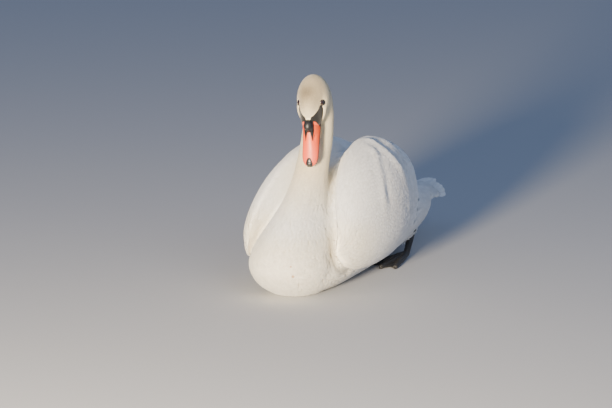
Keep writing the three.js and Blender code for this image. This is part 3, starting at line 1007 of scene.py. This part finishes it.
def lay_vane(coat, tree, root, direction, length, width, rise, thick, arch, patch, tone, lift=0.0):
    """One feather that follows the surface from its root; rise is (start, end) height in metres."""
    place, normal = tree.find_nearest(Vector(root))[:2]
    direction = Vector(direction)
    centres, lefts, rights, bottoms = [], [], [], []
    before = 0.0
    for share, broad in coat.outline:
        step = (share - before) * length
        before = share
        direction = direction - normal * direction.dot(normal)
        if direction.length < 1e-9:
            return
        direction.normalize()
        if step:
            place, normal, _, off = tree.find_nearest(place + direction * step)
            if off > JUMP * length and place.z > THROAT_Z:
                return
            direction = (direction - normal * direction.dot(normal)).normalized()
        side = normal.cross(direction)
        height = rise[0] + (rise[1] - rise[0]) * (1 - (1 - share) ** 2.2) + lift * share**3
        half = broad * width / 2
        centre = place + normal * (height + arch * broad)
        centres.append(centre)
        bottoms.append(place + normal * (height + arch * broad - thick))
        for edge, out in ((lefts, -half), (rights, half)):
            if half:
                near, near_normal = tree.find_nearest(place + side * out)[:2]
                edge.append(near + near_normal * height)
            else:
                edge.append(centre)
    coat.add(centres, lefts, rights, bottoms, width, length, patch, tone)


def surface_frame(point, t, angle, side):
    """Place, the two tangents and the outward normal of a form at stations t and angles."""
    e = 1e-3
    place = point(t, angle)
    along_t = (point(t + e, angle) - point(t - e, angle)) / (2 * e)
    around = (point(t, angle + e) - point(t, angle - e)) / (2 * e)
    normal = np.cross(around, along_t) * side
    return place, along_t, around, normal / (np.linalg.norm(normal, axis=-1, keepdims=True) + 1e-12)


def dot(a, b):
    return (a * b).sum(-1)


def solve_step(along_t, around, move):
    """Change of station and angle that moves a point on the form by a tangent vector."""
    a, b, c = dot(along_t, along_t), dot(along_t, around), dot(around, around)
    u, v = dot(move, along_t), dot(move, around)
    det = np.maximum(a * c - b * b, 1e-12)
    return (u * c - v * b) / det, (v * a - u * b) / det


# A small feather's height at the root, thickness and arch, as shares of the coat's depth
ROOT_SHARE, THICK_SHARE, ARCH_SHARE = 0.05, 0.09, 0.05


def lay_small(coat, tree, root, way, length, width, depth, top, lift, patch, tone):
    """A small feather; top and lift: how high its end lies and stands out, as shares of the coat's depth."""
    lay_vane(coat, tree, root, way, length, width, (depth * ROOT_SHARE, depth * top), depth * THICK_SHARE,
             depth * ARCH_SHARE, patch, tone, depth * lift)


def unit(v):
    return v / (np.linalg.norm(v, axis=-1, keepdims=True) + 1e-12)


# Flight feathers, in metres: depth of the root, thickness, and how far the lower edge lifts over the next
QUILL_SINK, QUILL_THICK, QUILL_ROLL = 0.0034, 0.0007, 0.0013
QUILL_ARCH = 0.03  # share of the width


def lay_on_form(coat, form, t, angle, heading, length, width, proud, patches, tones):
    """Vanes over a form's own surface, so that they bridge hollows; arrays with one entry per vane.

    form is the point function, its last station and its side, +1 or -1; proud is how high the tip ends.
    """
    point, last, side = form
    place, along_t, around, normal = surface_frame(point, t, angle, side)
    rows = []
    direction = None
    before = 0.0
    for share, broad in coat.outline:
        if share:
            step = ((share - before) * length)[:, None]
            before = share
            dt, da = solve_step(along_t, around, direction * step)
            on = t + dt < last - 0.02
            t, angle = np.where(on, t + dt, t), np.where(on, angle + da, angle)
            straight = place + direction * step
            place, along_t, around, normal = surface_frame(point, t, angle, side)
            place = np.where(on[:, None], place, straight)
        forward = unit(along_t)
        across = unit(np.cross(normal, forward)) * side
        aim = forward * np.cos(heading)[:, None] + across * np.sin(heading)[:, None]
        direction = aim if direction is None else unit(aim * 0.6 + direction * 0.4)
        sideways = unit(np.cross(normal, direction))
        half = (broad * width / 2)[:, None]
        height = (proud - (QUILL_SINK + proud) * (1 - share) ** 1.9)[:, None]
        dt, da = solve_step(along_t, around, sideways * half)
        on = ((np.abs(dt) < 1.2) & (np.abs(da) < 0.7))[:, None]
        tilt = side * QUILL_ROLL * min(1.0, 2.5 * share) * (half > 0)
        edges = []
        for way in (-1, 1):
            curved = point(np.clip(t + way * dt, 0, last), angle + way * da) - point(t, angle)
            edge = place + np.where(on, curved, way * sideways * half)
            edges.append(edge + normal * (height - way * tilt))
        centre = place + normal * (height + (width * QUILL_ARCH * broad)[:, None])
        rows.append((centre, *edges, centre - normal * QUILL_THICK))
    for i in range(len(t)):
        parts = [[row[part][i] for row in rows] for part in range(4)]
        coat.add(*parts, width[i], length[i], patches[i], tones[i])


# Wings and tail
# y place, feather length and width, in mm: coverts in front, then the long flight feathers
WING_FEATHERS = [
    (130, 24, 12),
    (210, 28, 14),
    (280, 34, 16),
    (330, 42, 19),
    (360, 62, 24),
    (420, 105, 30),
    (520, 145, 32),
    (600, 120, 24),
    (640, 95, 17),
]
LONG_FEATHER = 60.0  # mm; shorter ones follow the skin, longer ones bridge its hollows
ROW_SHARE, SIDE_SHARE = 0.36, 0.56  # spacing of the rows and of the feathers in a row
LAST_ROW_Y = 645
ROOT_BURIED = 0.007  # metres; a wing feather with its root deeper than this in the body is left out
UPPER_LONGER, UPPER_ANGLE, UPPER_Y = 1.18, 0.5, 200  # feathers by the crest and inside it, behind this y


def wing_roots(wing, form_tree):
    """Station, angle, length and width of the wing's feathers, the small ones and the long."""
    point, last, _ = FORMS[wing]
    dense = np.linspace(0, last, 600)
    y_of_t = sample(WING, WING_KEYS, dense)["y"]
    ring_angle = np.linspace(-np.pi, np.pi, 181)
    rows = {"small": [], "long": []}
    row_y, lengths, widths = zip(*WING_FEATHERS)
    y, row = float(row_y[0]), 0
    while y < LAST_ROW_Y:
        long_mm, wide_mm = np.interp(y, row_y, lengths), np.interp(y, row_y, widths)
        ring = point(np.full(len(ring_angle), np.interp(y, y_of_t, dense)), ring_angle)
        arc = np.concatenate([[0], np.cumsum(np.linalg.norm(np.diff(ring, axis=0), axis=1))]) * 1000
        count = max(4, int(arc[-1] / (wide_mm * SIDE_SHARE)))
        at = (np.arange(count) + 0.5 * (row % 2) + RNG.uniform(-0.12, 0.12, count)) / count * arc[-1]
        kind = "long" if long_mm > LONG_FEATHER else "small"
        for angle in np.interp(at, arc, ring_angle):
            here_y = y + RNG.uniform(-0.1, 0.1) * long_mm * ROW_SHARE
            t = np.interp(here_y, y_of_t, dense)
            place = Vector(point(np.array([t]), np.array([angle]))[0])
            near, normal = form_tree.find_nearest(place)[:2]
            if (place - near).dot(normal) >= -ROOT_BURIED:
                upper = UPPER_LONGER if angle < UPPER_ANGLE and y > UPPER_Y else 1.0
                rows[kind].append((t, angle, long_mm * upper, wide_mm))
        y += long_mm * ROW_SHARE * 0.8
        row += 1
    return rows


def feather_wing(wing, form_tree, skin_tree, lie, coats):
    point, last, _ = FORMS[wing]
    side = WINGS[wing][0]
    for kind, feathers in wing_roots(wing, form_tree).items():
        t, angle, long_mm, wide_mm = np.array(feathers).T
        n = len(t)
        key = wing + "_" + kind
        coats[key] = coat = Coat("coat_" + key, "long" if kind == "long" else "round")
        length = long_mm * RNG.uniform(0.93, 1.07, n) / 1000
        width = wide_mm * RNG.uniform(0.94, 1.06, n) / 1000
        wrapped = np.mod(angle + np.pi, 2 * np.pi) - np.pi
        patches = [lie.uv(wing, *at) for at in zip(t, wrapped)]
        place, forward = surface_frame(point, t, angle, side)[:2]
        tones = np.clip(markings(place) * RNG.uniform(0.96, 1.03, (n, 1)), 0, 1)
        if kind == "long":
            heading, proud = RNG.normal(0, 0.05, n), RNG.uniform(-0.0008, 0.0002, n)
            lay_on_form(coat, (point, last, side), t, angle, heading, length, width, proud, patches, tones)
            continue
        for i, depth in enumerate(coat_depth(place)):
            way = Vector(forward[i]).normalized() + Vector(RNG.normal(0, 0.06, 3))
            top = RNG.uniform(0.93, 1.0)
            lay_small(coat, skin_tree, place[i], way, length[i], width[i], depth, top, 0.04, patches[i],
                      tones[i])


RECTRICES, RECTRIX_LENGTH, RECTRIX_WIDTH = 14, 148, 27.0
TAIL_ROOT, TAIL_Z = 702.0, 114.0


def feather_tail(lie, coats):
    """Tail feathers in a fan: the middle pair lies on top, each outer one under its inner neighbour."""
    coats["tail_fan"] = coat = Coat("coat_tail_fan", "quill")
    for k in range(RECTRICES):
        f = (k - (RECTRICES - 1) / 2) / ((RECTRICES - 1) / 2)
        out = abs(f)
        length = RECTRIX_LENGTH - 17 * smooth((out - 0.22) / 0.2) - 30 * smooth((out - 0.7) / 0.5)
        length = length + RNG.uniform(-1.2, 1.2)
        stack = 3.2 * (1 - out)
        sides = [[], [], [], []]
        for share, broad in coat.outline:
            middle = f * (30 + 24 * smooth(share))
            half = 0.5 * broad * RECTRIX_WIDTH
            shape = ((middle, 0.9 * broad), (middle - half, 0.0), (middle + half, 0.0), (middle, -0.5))
            for side, (x, lift) in zip(sides, shape):
                droop = TAIL_DROOP * abs(x) * min(1, abs(x) / 60)
                tilt = 0.05 * (abs(x) - abs(middle)) if out > 0.1 else 0
                side.append(to_row(x, TAIL_ROOT + length * share, TAIL_Z - droop + stack + tilt + lift))
        tone = np.clip(WHITE * RNG.uniform(0.95, 1.02), 0, 1)
        coat.add(*sides, RECTRIX_WIDTH / 1000, length / 1000, lie.uv("tail", 0.2, f * 1.4), tone)


# Loose tufts, in mm: centre, its spread, direction of the tips, count, length, width, how far tips stand out
TUFTS = [
    ((97, 533, 42), (9, 26, 12), (0.5, 0.5, -0.7), 110, 20, 4.0, 7),
    ((-60, 485, 268), (5, 6, 2), (0, 0.9, 0.5), 7, 22, 6.0, 8),
    ((-160, 190, 72), (3, 7, 5), (-0.4, 0.7, -0.5), 8, 20, 6.0, 9),
]


def add_tufts(skin_tree, lie, coats):
    """Down under the left flank, and the few feathers that stand out of the coat."""
    coats["tufts"] = coat = Coat("coat_tufts", "round")
    for centre, spread, tips, count, length, width, out in TUFTS:
        for _ in range(count):
            root = to_row(*(np.array(centre) + RNG.normal(0, 0.6, 3) * spread))
            near = skin_tree.find_nearest(Vector(root))[0]
            way = Vector(tips) + Vector(RNG.normal(0, 0.28, 3))
            name, t, angle, _ = lie.at(near)
            # painted light: each tuft is up to 6% whiter than WHITE, as if the loose down caught the light
            lay_vane(coat, skin_tree, near, way, length * RNG.uniform(0.7, 1.15) / 1000, width / 1000,
                     (0.0004, 0.0045), 0.0003, 0.0006, lie.uv(name, t, angle),
                     np.clip(WHITE * RNG.uniform(1.0, 1.06), 0, 1), out * RNG.uniform(0.3, 1.0) / 1000)


# Small feathers
CELL = 0.004  # metres; side of a cell of the grid that finds a root's neighbours
CROWDING = 4.5  # places tried for each square of the spacing


def scatter(mesh, spacing, keep, seed=3):
    """Points at least spacing(p) apart over the mesh, where keep(p) holds."""
    rng = np.random.default_rng(seed)
    a, b, c = np.moveaxis(coords(mesh)[triangles(mesh)], 1, 0)
    centre = (a + b + c) / 3
    gap = spacing(centre)
    area = np.linalg.norm(np.cross(b - a, c - a), axis=1) / 2 * keep(centre)
    cumulative = np.cumsum(area / gap**2 * CROWDING)
    count = int(cumulative[-1])
    pick = np.searchsorted(cumulative, rng.random(count) * cumulative[-1])
    u, v = rng.random(count), rng.random(count)
    flip = u + v > 1
    u[flip], v[flip] = 1 - u[flip], 1 - v[flip]
    candidates = a[pick] + u[:, None] * (b - a)[pick] + v[:, None] * (c - a)[pick]
    grid = {}
    chosen = []
    for p, g in zip(candidates.tolist(), gap[pick].tolist()):
        x, y, z = p
        reach = int(g / CELL) + 1
        key = (int(x // CELL), int(y // CELL), int(z // CELL))
        cells = itertools.product(*(range(k - reach, k + reach + 1) for k in key))
        near = itertools.chain.from_iterable(grid.get(cell, ()) for cell in cells)
        if not any((x - q[0]) ** 2 + (y - q[1]) ** 2 + (z - q[2]) ** 2 < g * g for q in near):
            grid.setdefault(key, []).append(p)
            chosen.append(p)
    return np.array(chosen)


KNOB = {"s": 87, "h": 28.5, "radii": (10.5, 14.0, 12.5)}  # radii across, along s and up h


def bare(points):
    """Where no small feather grows: the lore, the eye and round the bill's base."""
    place = head_place(points)
    x, s, h = place.T
    eye = (np.hypot(s - EYE["s"], h - EYE["h"]) < EYE_RING + 0.3) & (np.abs(x) > 15)
    mouth = (s < 92) & (points[:, 1] < -0.22)
    knob = (np.hypot((s - KNOB["s"]) / 15.0, (h - KNOB["h"]) / 14) < 1) & (np.abs(x) < 12)
    return (points[:, 2] > HEAD_Z) & (lore_area(place, 0.5) | eye | mouth | knob)


def clear_length(root, direction, length):
    """The length that keeps a feather's tip off the bare skin."""
    for _ in range(5):
        reach = np.array([np.asarray(root) + np.asarray(direction) * length * share for share in (0.5, 0.9)])
        if not bare(reach).any():
            break
        length *= 0.7
    return length


COARSER = 1


def tract_of(points):
    """Spacing between the small feathers, in metres."""
    s = head_place(points)[:, 1]
    x, y, z = from_row(points).T
    breast = smooth((260 - y) / 100)
    neck = smooth((z - 150) / 110) * smooth((290 - y) / 30) * smooth((66 - np.abs(x)) / 18)
    upper = smooth((z - 290) / 100) * smooth((280 - y) / 20)
    head = smooth((z - 375) / 40) * smooth((265 - y) / 20)
    face = head * smooth((126 - s) / 22)
    gap = blend(7.6, (5.2, breast), (3.4, neck), (2.6, upper), (1.9, head), (1.4, face))
    return gap * COARSER / 1000


WING_FRONT = (158 - LENGTH / 2) / 1000  # y in metres; forward of it the breast's feathers run over the wing
WING_FOOT = 0.045  # z in metres; under it the trunk's small feathers run over the wing
HEAD_GAP, NECK_GAP = 0.0024, 0.0044  # a smaller spacing than these belongs to the head, or to the neck
SHORTEST = 0.0012
VANE_LENGTH, SLIM_EXTRA, VANE_WIDTH = 4.4, 0.4, 1.8  # in spacings; slim ones grow where the spacing is small


def small_feathers(skin, skin_tree, lie, coats):
    """Small feathers everywhere but on the wings, which have rows of their own."""
    roots = scatter(skin.data, tract_of, lambda p: ~bare(p) & (p[:, 2] > 0.001))
    gaps, tones, depths = tract_of(roots), markings(roots), coat_depth(roots)
    for i in RNG.permutation(len(roots)):
        root, scale, depth = roots[i], gaps[i], depths[i]
        name, t, angle, direction = lie.at(root)
        if name.startswith("wing") and root[2] > WING_FOOT and root[1] > WING_FRONT:
            continue
        gap = scale / COARSER
        key = name
        if gap < HEAD_GAP:
            key = "head"
        elif name == "column":
            key = "neck" if gap < NECK_GAP else "breast"
        if key not in coats:
            coats[key] = Coat("coat_" + key, "tiny" if key == "head" else "round")
        slim = float(smooth((0.0060 - gap) / 0.003))
        length = scale * (VANE_LENGTH + SLIM_EXTRA * slim) * RNG.uniform(0.85, 1.12)
        width = scale * VANE_WIDTH * RNG.uniform(0.9, 1.1)
        tone = np.clip(tones[i] * RNG.uniform(0.95, 1.04), 0, 1)
        direction = (Vector(direction).normalized() + Vector(RNG.normal(0, 0.10, 3))).normalized()
        if root[2] > HEAD_Z:
            length = clear_length(root, direction, length)
            if length < SHORTEST:
                continue
        lay_small(coats[key], skin_tree, root, direction, length, width, depth, RNG.uniform(0.92, 1.0), 0.08,
                  lie.uv(name, t, angle), tone)


# Bill, knob, nail, eyes
UPPER_KEYS = ("s", "half", "ridge", "n")
UPPER_BILL = [
    (0, 5, 3, 2),
    (3, 10.5, 6.5, 2),
    (9, 15, 9, 2),
    (20, 18.2, 10.8, 1.9),
    (36, 18.8, 13.4, 1.8),
    (52, 19, 17.6, 1.7),
    (68, 19.6, 23, 1.6),
    (82, 20.4, 28, 1.6),
    (96, 20.5, 31, 1.7),
]
PALATE = 1.2
LOWER_KEYS = ("s", "half", "top", "deep")
LOWER_BILL = [
    (7, 8, 1.5, 3),
    (14, 13, 1.5, 4.5),
    (34, 15, 1.5, 6),
    (60, 15.4, 1.5, 7.5),
    (84, 16, 1.5, 9),
    (92, 16, 1.5, 9.5),
]
NAIL = {"half": 7.8, "from_s": -1.4, "to_s": 17.0}
NOSTRIL = {"s": 62, "h": 14.5, "long": 7.0, "high": 2.2}

def bill_rings(table, keys, rings, count):
    """The table's values round each ring, with the cosine and sine of the angle."""
    t = np.linspace(0, len(table) - 1, rings)
    angle = np.linspace(0, 2 * np.pi, count, endpoint=False)
    return sample(table, keys, t[:, None] + 0 * angle), np.cos(angle)[None, :], np.sin(angle)[None, :]


def bill_half(name, x, s, h, material):
    bill = new_object(name, *loft(head_point(x, s, h)), material)
    put_place(bill.data)
    return bill


def build_upper_bill(material):
    at, c, sn = bill_rings(UPPER_BILL, UPPER_KEYS, 150, 96)
    h = np.where(c > 0, at["ridge"] * power(c + 0 * at["s"], at["n"]), PALATE * c)
    x = at["half"] * sn
    s = at["s"] + 0 * x
    # nostrils: long slots in the side of the bill
    side = np.hypot((s - NOSTRIL["s"]) / NOSTRIL["long"], (h - NOSTRIL["h"]) / NOSTRIL["high"])
    deep = 2.2 * smooth((1.15 - side) / 0.5)
    groove = 0.5 * bump_at(h, NOSTRIL["h"], 3.5) * smooth((s - 40) / 15) * smooth((82 - s) / 10)
    x = x - np.sign(x) * (deep + groove) * (c > 0)
    # a fine lip above the cutting edge
    x = x - np.sign(x) * 0.35 * bump_at(h, 2.2, 0.9) * (c > 0)
    return bill_half("bill_upper_fine", x, s, h, material)


def build_lower_bill(material):
    at, c, sn = bill_rings(LOWER_BILL, LOWER_KEYS, 90, 56)
    h = np.where(c > 0, -at["top"], -at["top"] + at["deep"] * c)
    groove = 1.3 * bump_at(sn * at["half"], 0, 3.5) * (c < 0) * smooth((at["s"] - 20) / 30)
    return bill_half("bill_lower_fine", at["half"] * sn, at["s"] + 0 * sn, h + groove, material)


def ball(name, x, s, h, radii, material, segments, rings):
    """A ball stretched across x, along s and up h, in the head's frame."""
    theta = np.linspace(0, np.pi, rings + 1)[1:-1][:, None]
    phi = np.linspace(0, 2 * np.pi, segments, endpoint=False)
    u, v, w = np.sin(theta) * np.cos(phi), np.sin(theta) * np.sin(phi), np.cos(theta) + 0 * phi
    grid = head_point(x + u * radii[0], s + v * radii[1], h + w * radii[2])
    return new_object(name, *loft(grid), material)


def build_knob(material):
    knob = ball("knob_fine", 0, KNOB["s"], KNOB["h"], KNOB["radii"], material, 64, 40)
    x, s, h = head_place(coords(knob.data)).T
    # broader where it grows from the bill, with a wrinkled skin in front
    flare = 1 + 0.22 * smooth((30 - h) / 9)
    points = head_point(x * flare, KNOB["s"] + (s - KNOB["s"]) * flare, h)
    wave = 0.25 * np.sin(s * 1.7 + x * 0.6) * smooth((86 - s) / 8)
    set_coords(knob.data, points + normals(knob.data) * (wave / 1000)[:, None])
    return knob


def build_nail(material):
    """The hooked horn tip of the upper bill: a teardrop plate wrapped over the end."""
    rows, columns = 60, 41
    v = np.linspace(0, 1, rows)[:, None]  # from the lower rim of the tip up to the point of the teardrop
    u = np.linspace(-1, 1, columns)[None, :]
    widest = 0.36
    blunt = np.sqrt(np.clip(1 - ((v - widest) / 0.38) ** 2, 0, 1))
    pointed = np.sqrt(np.clip(1 - ((v - widest) / 0.66) ** 2, 0, 1))
    pointed = pointed * (1 - 0.35 * smooth((v - widest) / 0.6))
    x = NAIL["half"] * np.where(v < widest, blunt, pointed) * u
    # the lower part goes round the end of the bill, the rest follows the culmen
    s = NAIL["from_s"] + (NAIL["to_s"] - NAIL["from_s"]) * smooth(v * 0.96 + 0.04) ** 1.15
    stations = [row[0] for row in UPPER_BILL[:4]]
    at = sample(UPPER_BILL, UPPER_KEYS, np.interp(np.maximum(s, 0) + 0 * u, stations, range(4)))
    across = np.clip(np.abs(x) / at["half"], 0, 0.97)
    culmen = at["ridge"] * np.sqrt(1 - across**2)
    h = np.where(v < 0.3, culmen * smooth(v / 0.3) - 1.2 * (1 - smooth(v / 0.3)), culmen)
    dome = 0.9 * (1 - u**2) * np.sqrt(np.clip(1 - (2 * v - 1) ** 2, 0, 1))
    top = head_point(x, s - dome * (v < 0.4), h + 0.35 + dome)
    under = head_point(x * 0.9, s + 2.2, h - 1.6)
    faces, offset = [], rows * columns
    for r in range(rows - 1):
        for i in range(r * columns, (r + 1) * columns - 1):
            faces.append((i, i + 1, i + columns + 1, i + columns))
            j = i + offset
            faces.append((j, j + columns, j + columns + 1, j + 1))
    grid = np.arange(offset).reshape(rows, columns)
    rim = np.concatenate([grid[:, 0], grid[-1, 1:], grid[-2::-1, -1], grid[0, -2:0:-1]]).tolist()
    for a, b in zip(rim, rim[1:] + rim[:1]):
        faces.append((a, a + offset, b + offset, b))
    verts = np.concatenate([top.reshape(-1, 3), under.reshape(-1, 3)])
    nail = new_object("nail_fine", verts, faces, material)

    def clean(bm):
        bmesh.ops.remove_doubles(bm, verts=bm.verts, dist=1e-5)
        bmesh.ops.dissolve_degenerate(bm, edges=bm.edges, dist=1e-6)
        face_outwards(bm)

    edit_mesh(nail.data, clean)
    nail.data.shade_smooth()
    return nail


def build_eye(side, material):
    radius, x = EYE["radius"], side * EYE["x"]
    name = "eyeball_left" if side > 0 else "eyeball_right"
    eye = ball(name, x, EYE["s"], EYE["h"], (radius, radius, radius), material, 56, 36)
    place = head_place(coords(eye.data))
    away = np.hypot(place[:, 1] - EYE["s"], place[:, 2] - EYE["h"]) / radius
    outward = side * (place[:, 0] - x) > 0
    put_attribute(eye.data, "iris", "FLOAT_VECTOR", np.stack([np.where(outward, away, 1), away, away], -1))
    return eye


# Legs and feet
ANKLE = np.array([86, 572, 80.0])
HEEL = np.array([93, 508, 10.0])
TOES = [(58, 408, 5.5), (86, 384, 6), (116, 398, 5.5)]
TOE_RADIUS, SHANK_RADIUS = 7.5, 9  # mm, at the heel and at the ankle
LEG_VOXEL = 0.0011


def circle(centre, across, up, radius, count):
    """Rings (n, count, 3) round the centres (n, 3), each with its radius."""
    angle = np.linspace(0, 2 * np.pi, count, endpoint=False)[None, :, None]
    return centre[:, None] + (across * np.cos(angle) + up * np.sin(angle)) * radius[:, None, None]


def bar_points(a, b, radius_a, radius_b, knots):
    """A round bar with rounded ends and knuckles."""
    length = np.linalg.norm(b - a)
    axis = (b - a) / length
    side = np.cross(axis, [0, 0, 1.0])
    side /= np.linalg.norm(side)
    at = -radius_a + (length + radius_a + radius_b) * (1 - np.cos(np.pi * np.linspace(0, 1, 40))) / 2
    radius = radius_a + (radius_b - radius_a) * np.clip(at / length, 0, 1)
    radius = radius * np.sqrt(np.clip(1 - (np.minimum(at, 0) / radius_a) ** 2, 0.0004, 1))
    radius = radius * np.sqrt(np.clip(1 - (np.maximum(at - length, 0) / radius_b) ** 2, 0.0004, 1))
    for k in range(1, knots):
        radius = radius + 0.6 * bump_at(at, length * k / knots, 5)
    return circle(a + axis * at[:, None], side, np.cross(side, axis), radius, 20)


def foot_parts(side):
    mm = lambda p: to_row(side * p[..., 0], p[..., 1], np.maximum(p[..., 2], 0.3))
    bars = []
    for x, y, radius in TOES:
        bars.append(bar_points(HEEL, np.array([x, y, radius - 1.0]), TOE_RADIUS, radius, 4))
    bars.append(bar_points(HEEL, ANKLE, TOE_RADIUS, SHANK_RADIUS, 1))
    # web between the toes: a thin plate with a hollowed front edge
    tips = np.array([(x, y) for x, y, _ in TOES], float)
    u, v = np.meshgrid(np.linspace(0, 1, 24), np.linspace(0, 1, 12), indexing="ij")
    reach = u * (1 - 0.14 * np.sin(np.pi * v))
    for first, second in ((0, 1), (1, 2)):
        edge = tips[first] + (tips[second] - tips[first]) * v[..., None]
        flat = HEEL[:2] + (edge - HEEL[:2]) * reach[..., None]
        low = np.concatenate([flat, np.full(u.shape + (1,), 0.6)], -1)
        high = np.concatenate([flat, (3.2 + 1.2 * (1 - u))[..., None]], -1)
        bars.append(np.concatenate([low, high[:, ::-1]], 1))
    return [loft(mm(bar)) for bar in bars]


def build_legs(material):
    legs = new_object("legs", *join_parts(foot_parts(1) + foot_parts(-1)))
    edit_mesh(legs.data, face_outwards)
    add_modifier(legs, "REMESH", mode="VOXEL", voxel_size=LEG_VOXEL)
    add_modifier(legs, "SMOOTH", factor=0.5, iterations=5)
    bake_modifiers(legs)
    points = coords(legs.data)
    points[:, 2] = np.where(points[:, 2] < 0.0006, 0.0, points[:, 2])
    set_coords(legs.data, points)
    set_material(legs, material)
    return legs


def build_claws(material):
    parts = []
    t = np.linspace(0, 1, 14)
    wide = 2.6 * (1 - t) ** 0.6 + 0.15
    for side, (x, y, radius) in itertools.product((1, -1), TOES):
        away = np.append(np.array([x, y]) - HEEL[:2], 0)
        away /= np.linalg.norm(away)
        start = np.array([x, y, radius + 0.5]) - away
        centre = start + np.outer(t * 10.5, away) - np.outer(t**2 * (radius - 1.5), [0, 0, 1])
        ring = circle(centre, np.array([-away[1], away[0], 0]), np.array([0, 0, 0.9]), wide, 14)
        parts.append(loft(to_row(side * ring[..., 0], ring[..., 1], np.maximum(ring[..., 2], 0.2))))
    claws = new_object("claws", *join_parts(parts), material)
    edit_mesh(claws.data, face_outwards)
    claws.data.shade_smooth()
    return claws


# Assembly
def main():
    add_camera()
    plumage, bill_horn = plumage_material(), bill_material()
    form = build_form()
    refine_head(form)
    skin = build_skin(form, skin_material())
    skin_tree, form_tree = tree_of(skin.data), tree_of(form.data)
    lie = Lie(form_tree)
    coats = {}
    small_feathers(skin, skin_tree, lie, coats)
    for wing in WINGS:
        feather_wing(wing, form_tree, skin_tree, lie, coats)
    feather_tail(lie, coats)
    add_tufts(skin_tree, lie, coats)
    for coat in coats.values():
        coat.build(plumage)

    legs = build_legs(leg_material())
    claws = build_claws(horn_material("claw", (0.012, 0.012, 0.013), 0.4))
    upper = build_upper_bill(bill_horn)
    lower = build_lower_bill(bill_horn)
    nail = build_nail(horn_material("nail", (0.012, 0.011, 0.012), 0.3))
    knob = build_knob(horn_material("black_horn", (0.007, 0.007, 0.008), 0.42))
    eye = eye_material()
    eyes = {side: build_eye(side, eye) for side in (1, -1)}

    bpy.data.objects.remove(form)
    for piece in (skin, legs, claws, upper, lower, nail, knob, eyes[1], eyes[-1]):
        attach(piece, "root")
    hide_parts("trunk", "neck_lower", "neck_middle", "neck_upper", "head", "wing_left", "wing_right",
                "wing_tip_left", "wing_tip_right", "tail")
    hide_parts("leg_left", "leg_right", "foot_left", "foot_right")
    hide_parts("bill_upper")
    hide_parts("bill_lower")
    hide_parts("nail")
    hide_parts("knob")
    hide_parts("eye_left")
    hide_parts("eye_right")


FLOOR_RADIUS = 80.0  # metres


def add_stage():
    around = np.linspace(0, 2 * np.pi, 96, endpoint=False)
    rim = np.stack([FLOOR_RADIUS * np.cos(around), FLOOR_RADIUS * np.sin(around), 0 * around], -1)
    floor = new_object("floor", rim, [tuple(range(len(rim)))], shade=False)
    shader = Shader("floor", roughness=0.9, base_color=(0.42, 0.43, 0.45, 1))
    floor.data.materials.append(shader.material)
    floor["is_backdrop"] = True
    world = bpy.data.worlds.new("world")
    bpy.context.scene.world = world
    world.use_nodes = True
    background = world.node_tree.nodes["Background"]
    background.inputs["Color"].default_value = (0.42, 0.58, 0.95, 1)
    background.inputs["Strength"].default_value = 0.45

    def area(name, azimuth, elevation, distance, size, power_w, colour):
        data = bpy.data.lights.new(name, "AREA")
        data.energy, data.color, data.size, data.shape = power_w, colour, size, "DISK"
        light = bpy.data.objects.new(name, data)
        back = Vector(towards(azimuth, elevation))
        light.location = back * distance + Vector((0, -0.05, 0.2))
        light.rotation_mode = "QUATERNION"
        light.rotation_quaternion = back.to_track_quat("Z", "Y")
        bpy.context.scene.collection.objects.link(light)

    area("key", 8, 7, 4.0, 0.6, 700, (1.0, 0.83, 0.60))
    area("fill", 60, 35, 4.0, 2.5, 30, (0.8, 0.88, 1.0))


main()
add_stage()
as_lists = lambda box: [[float(v) for v in corner] for corner in box]
{"cad": as_lists(CAD_BOX), "visual": as_lists(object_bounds())}
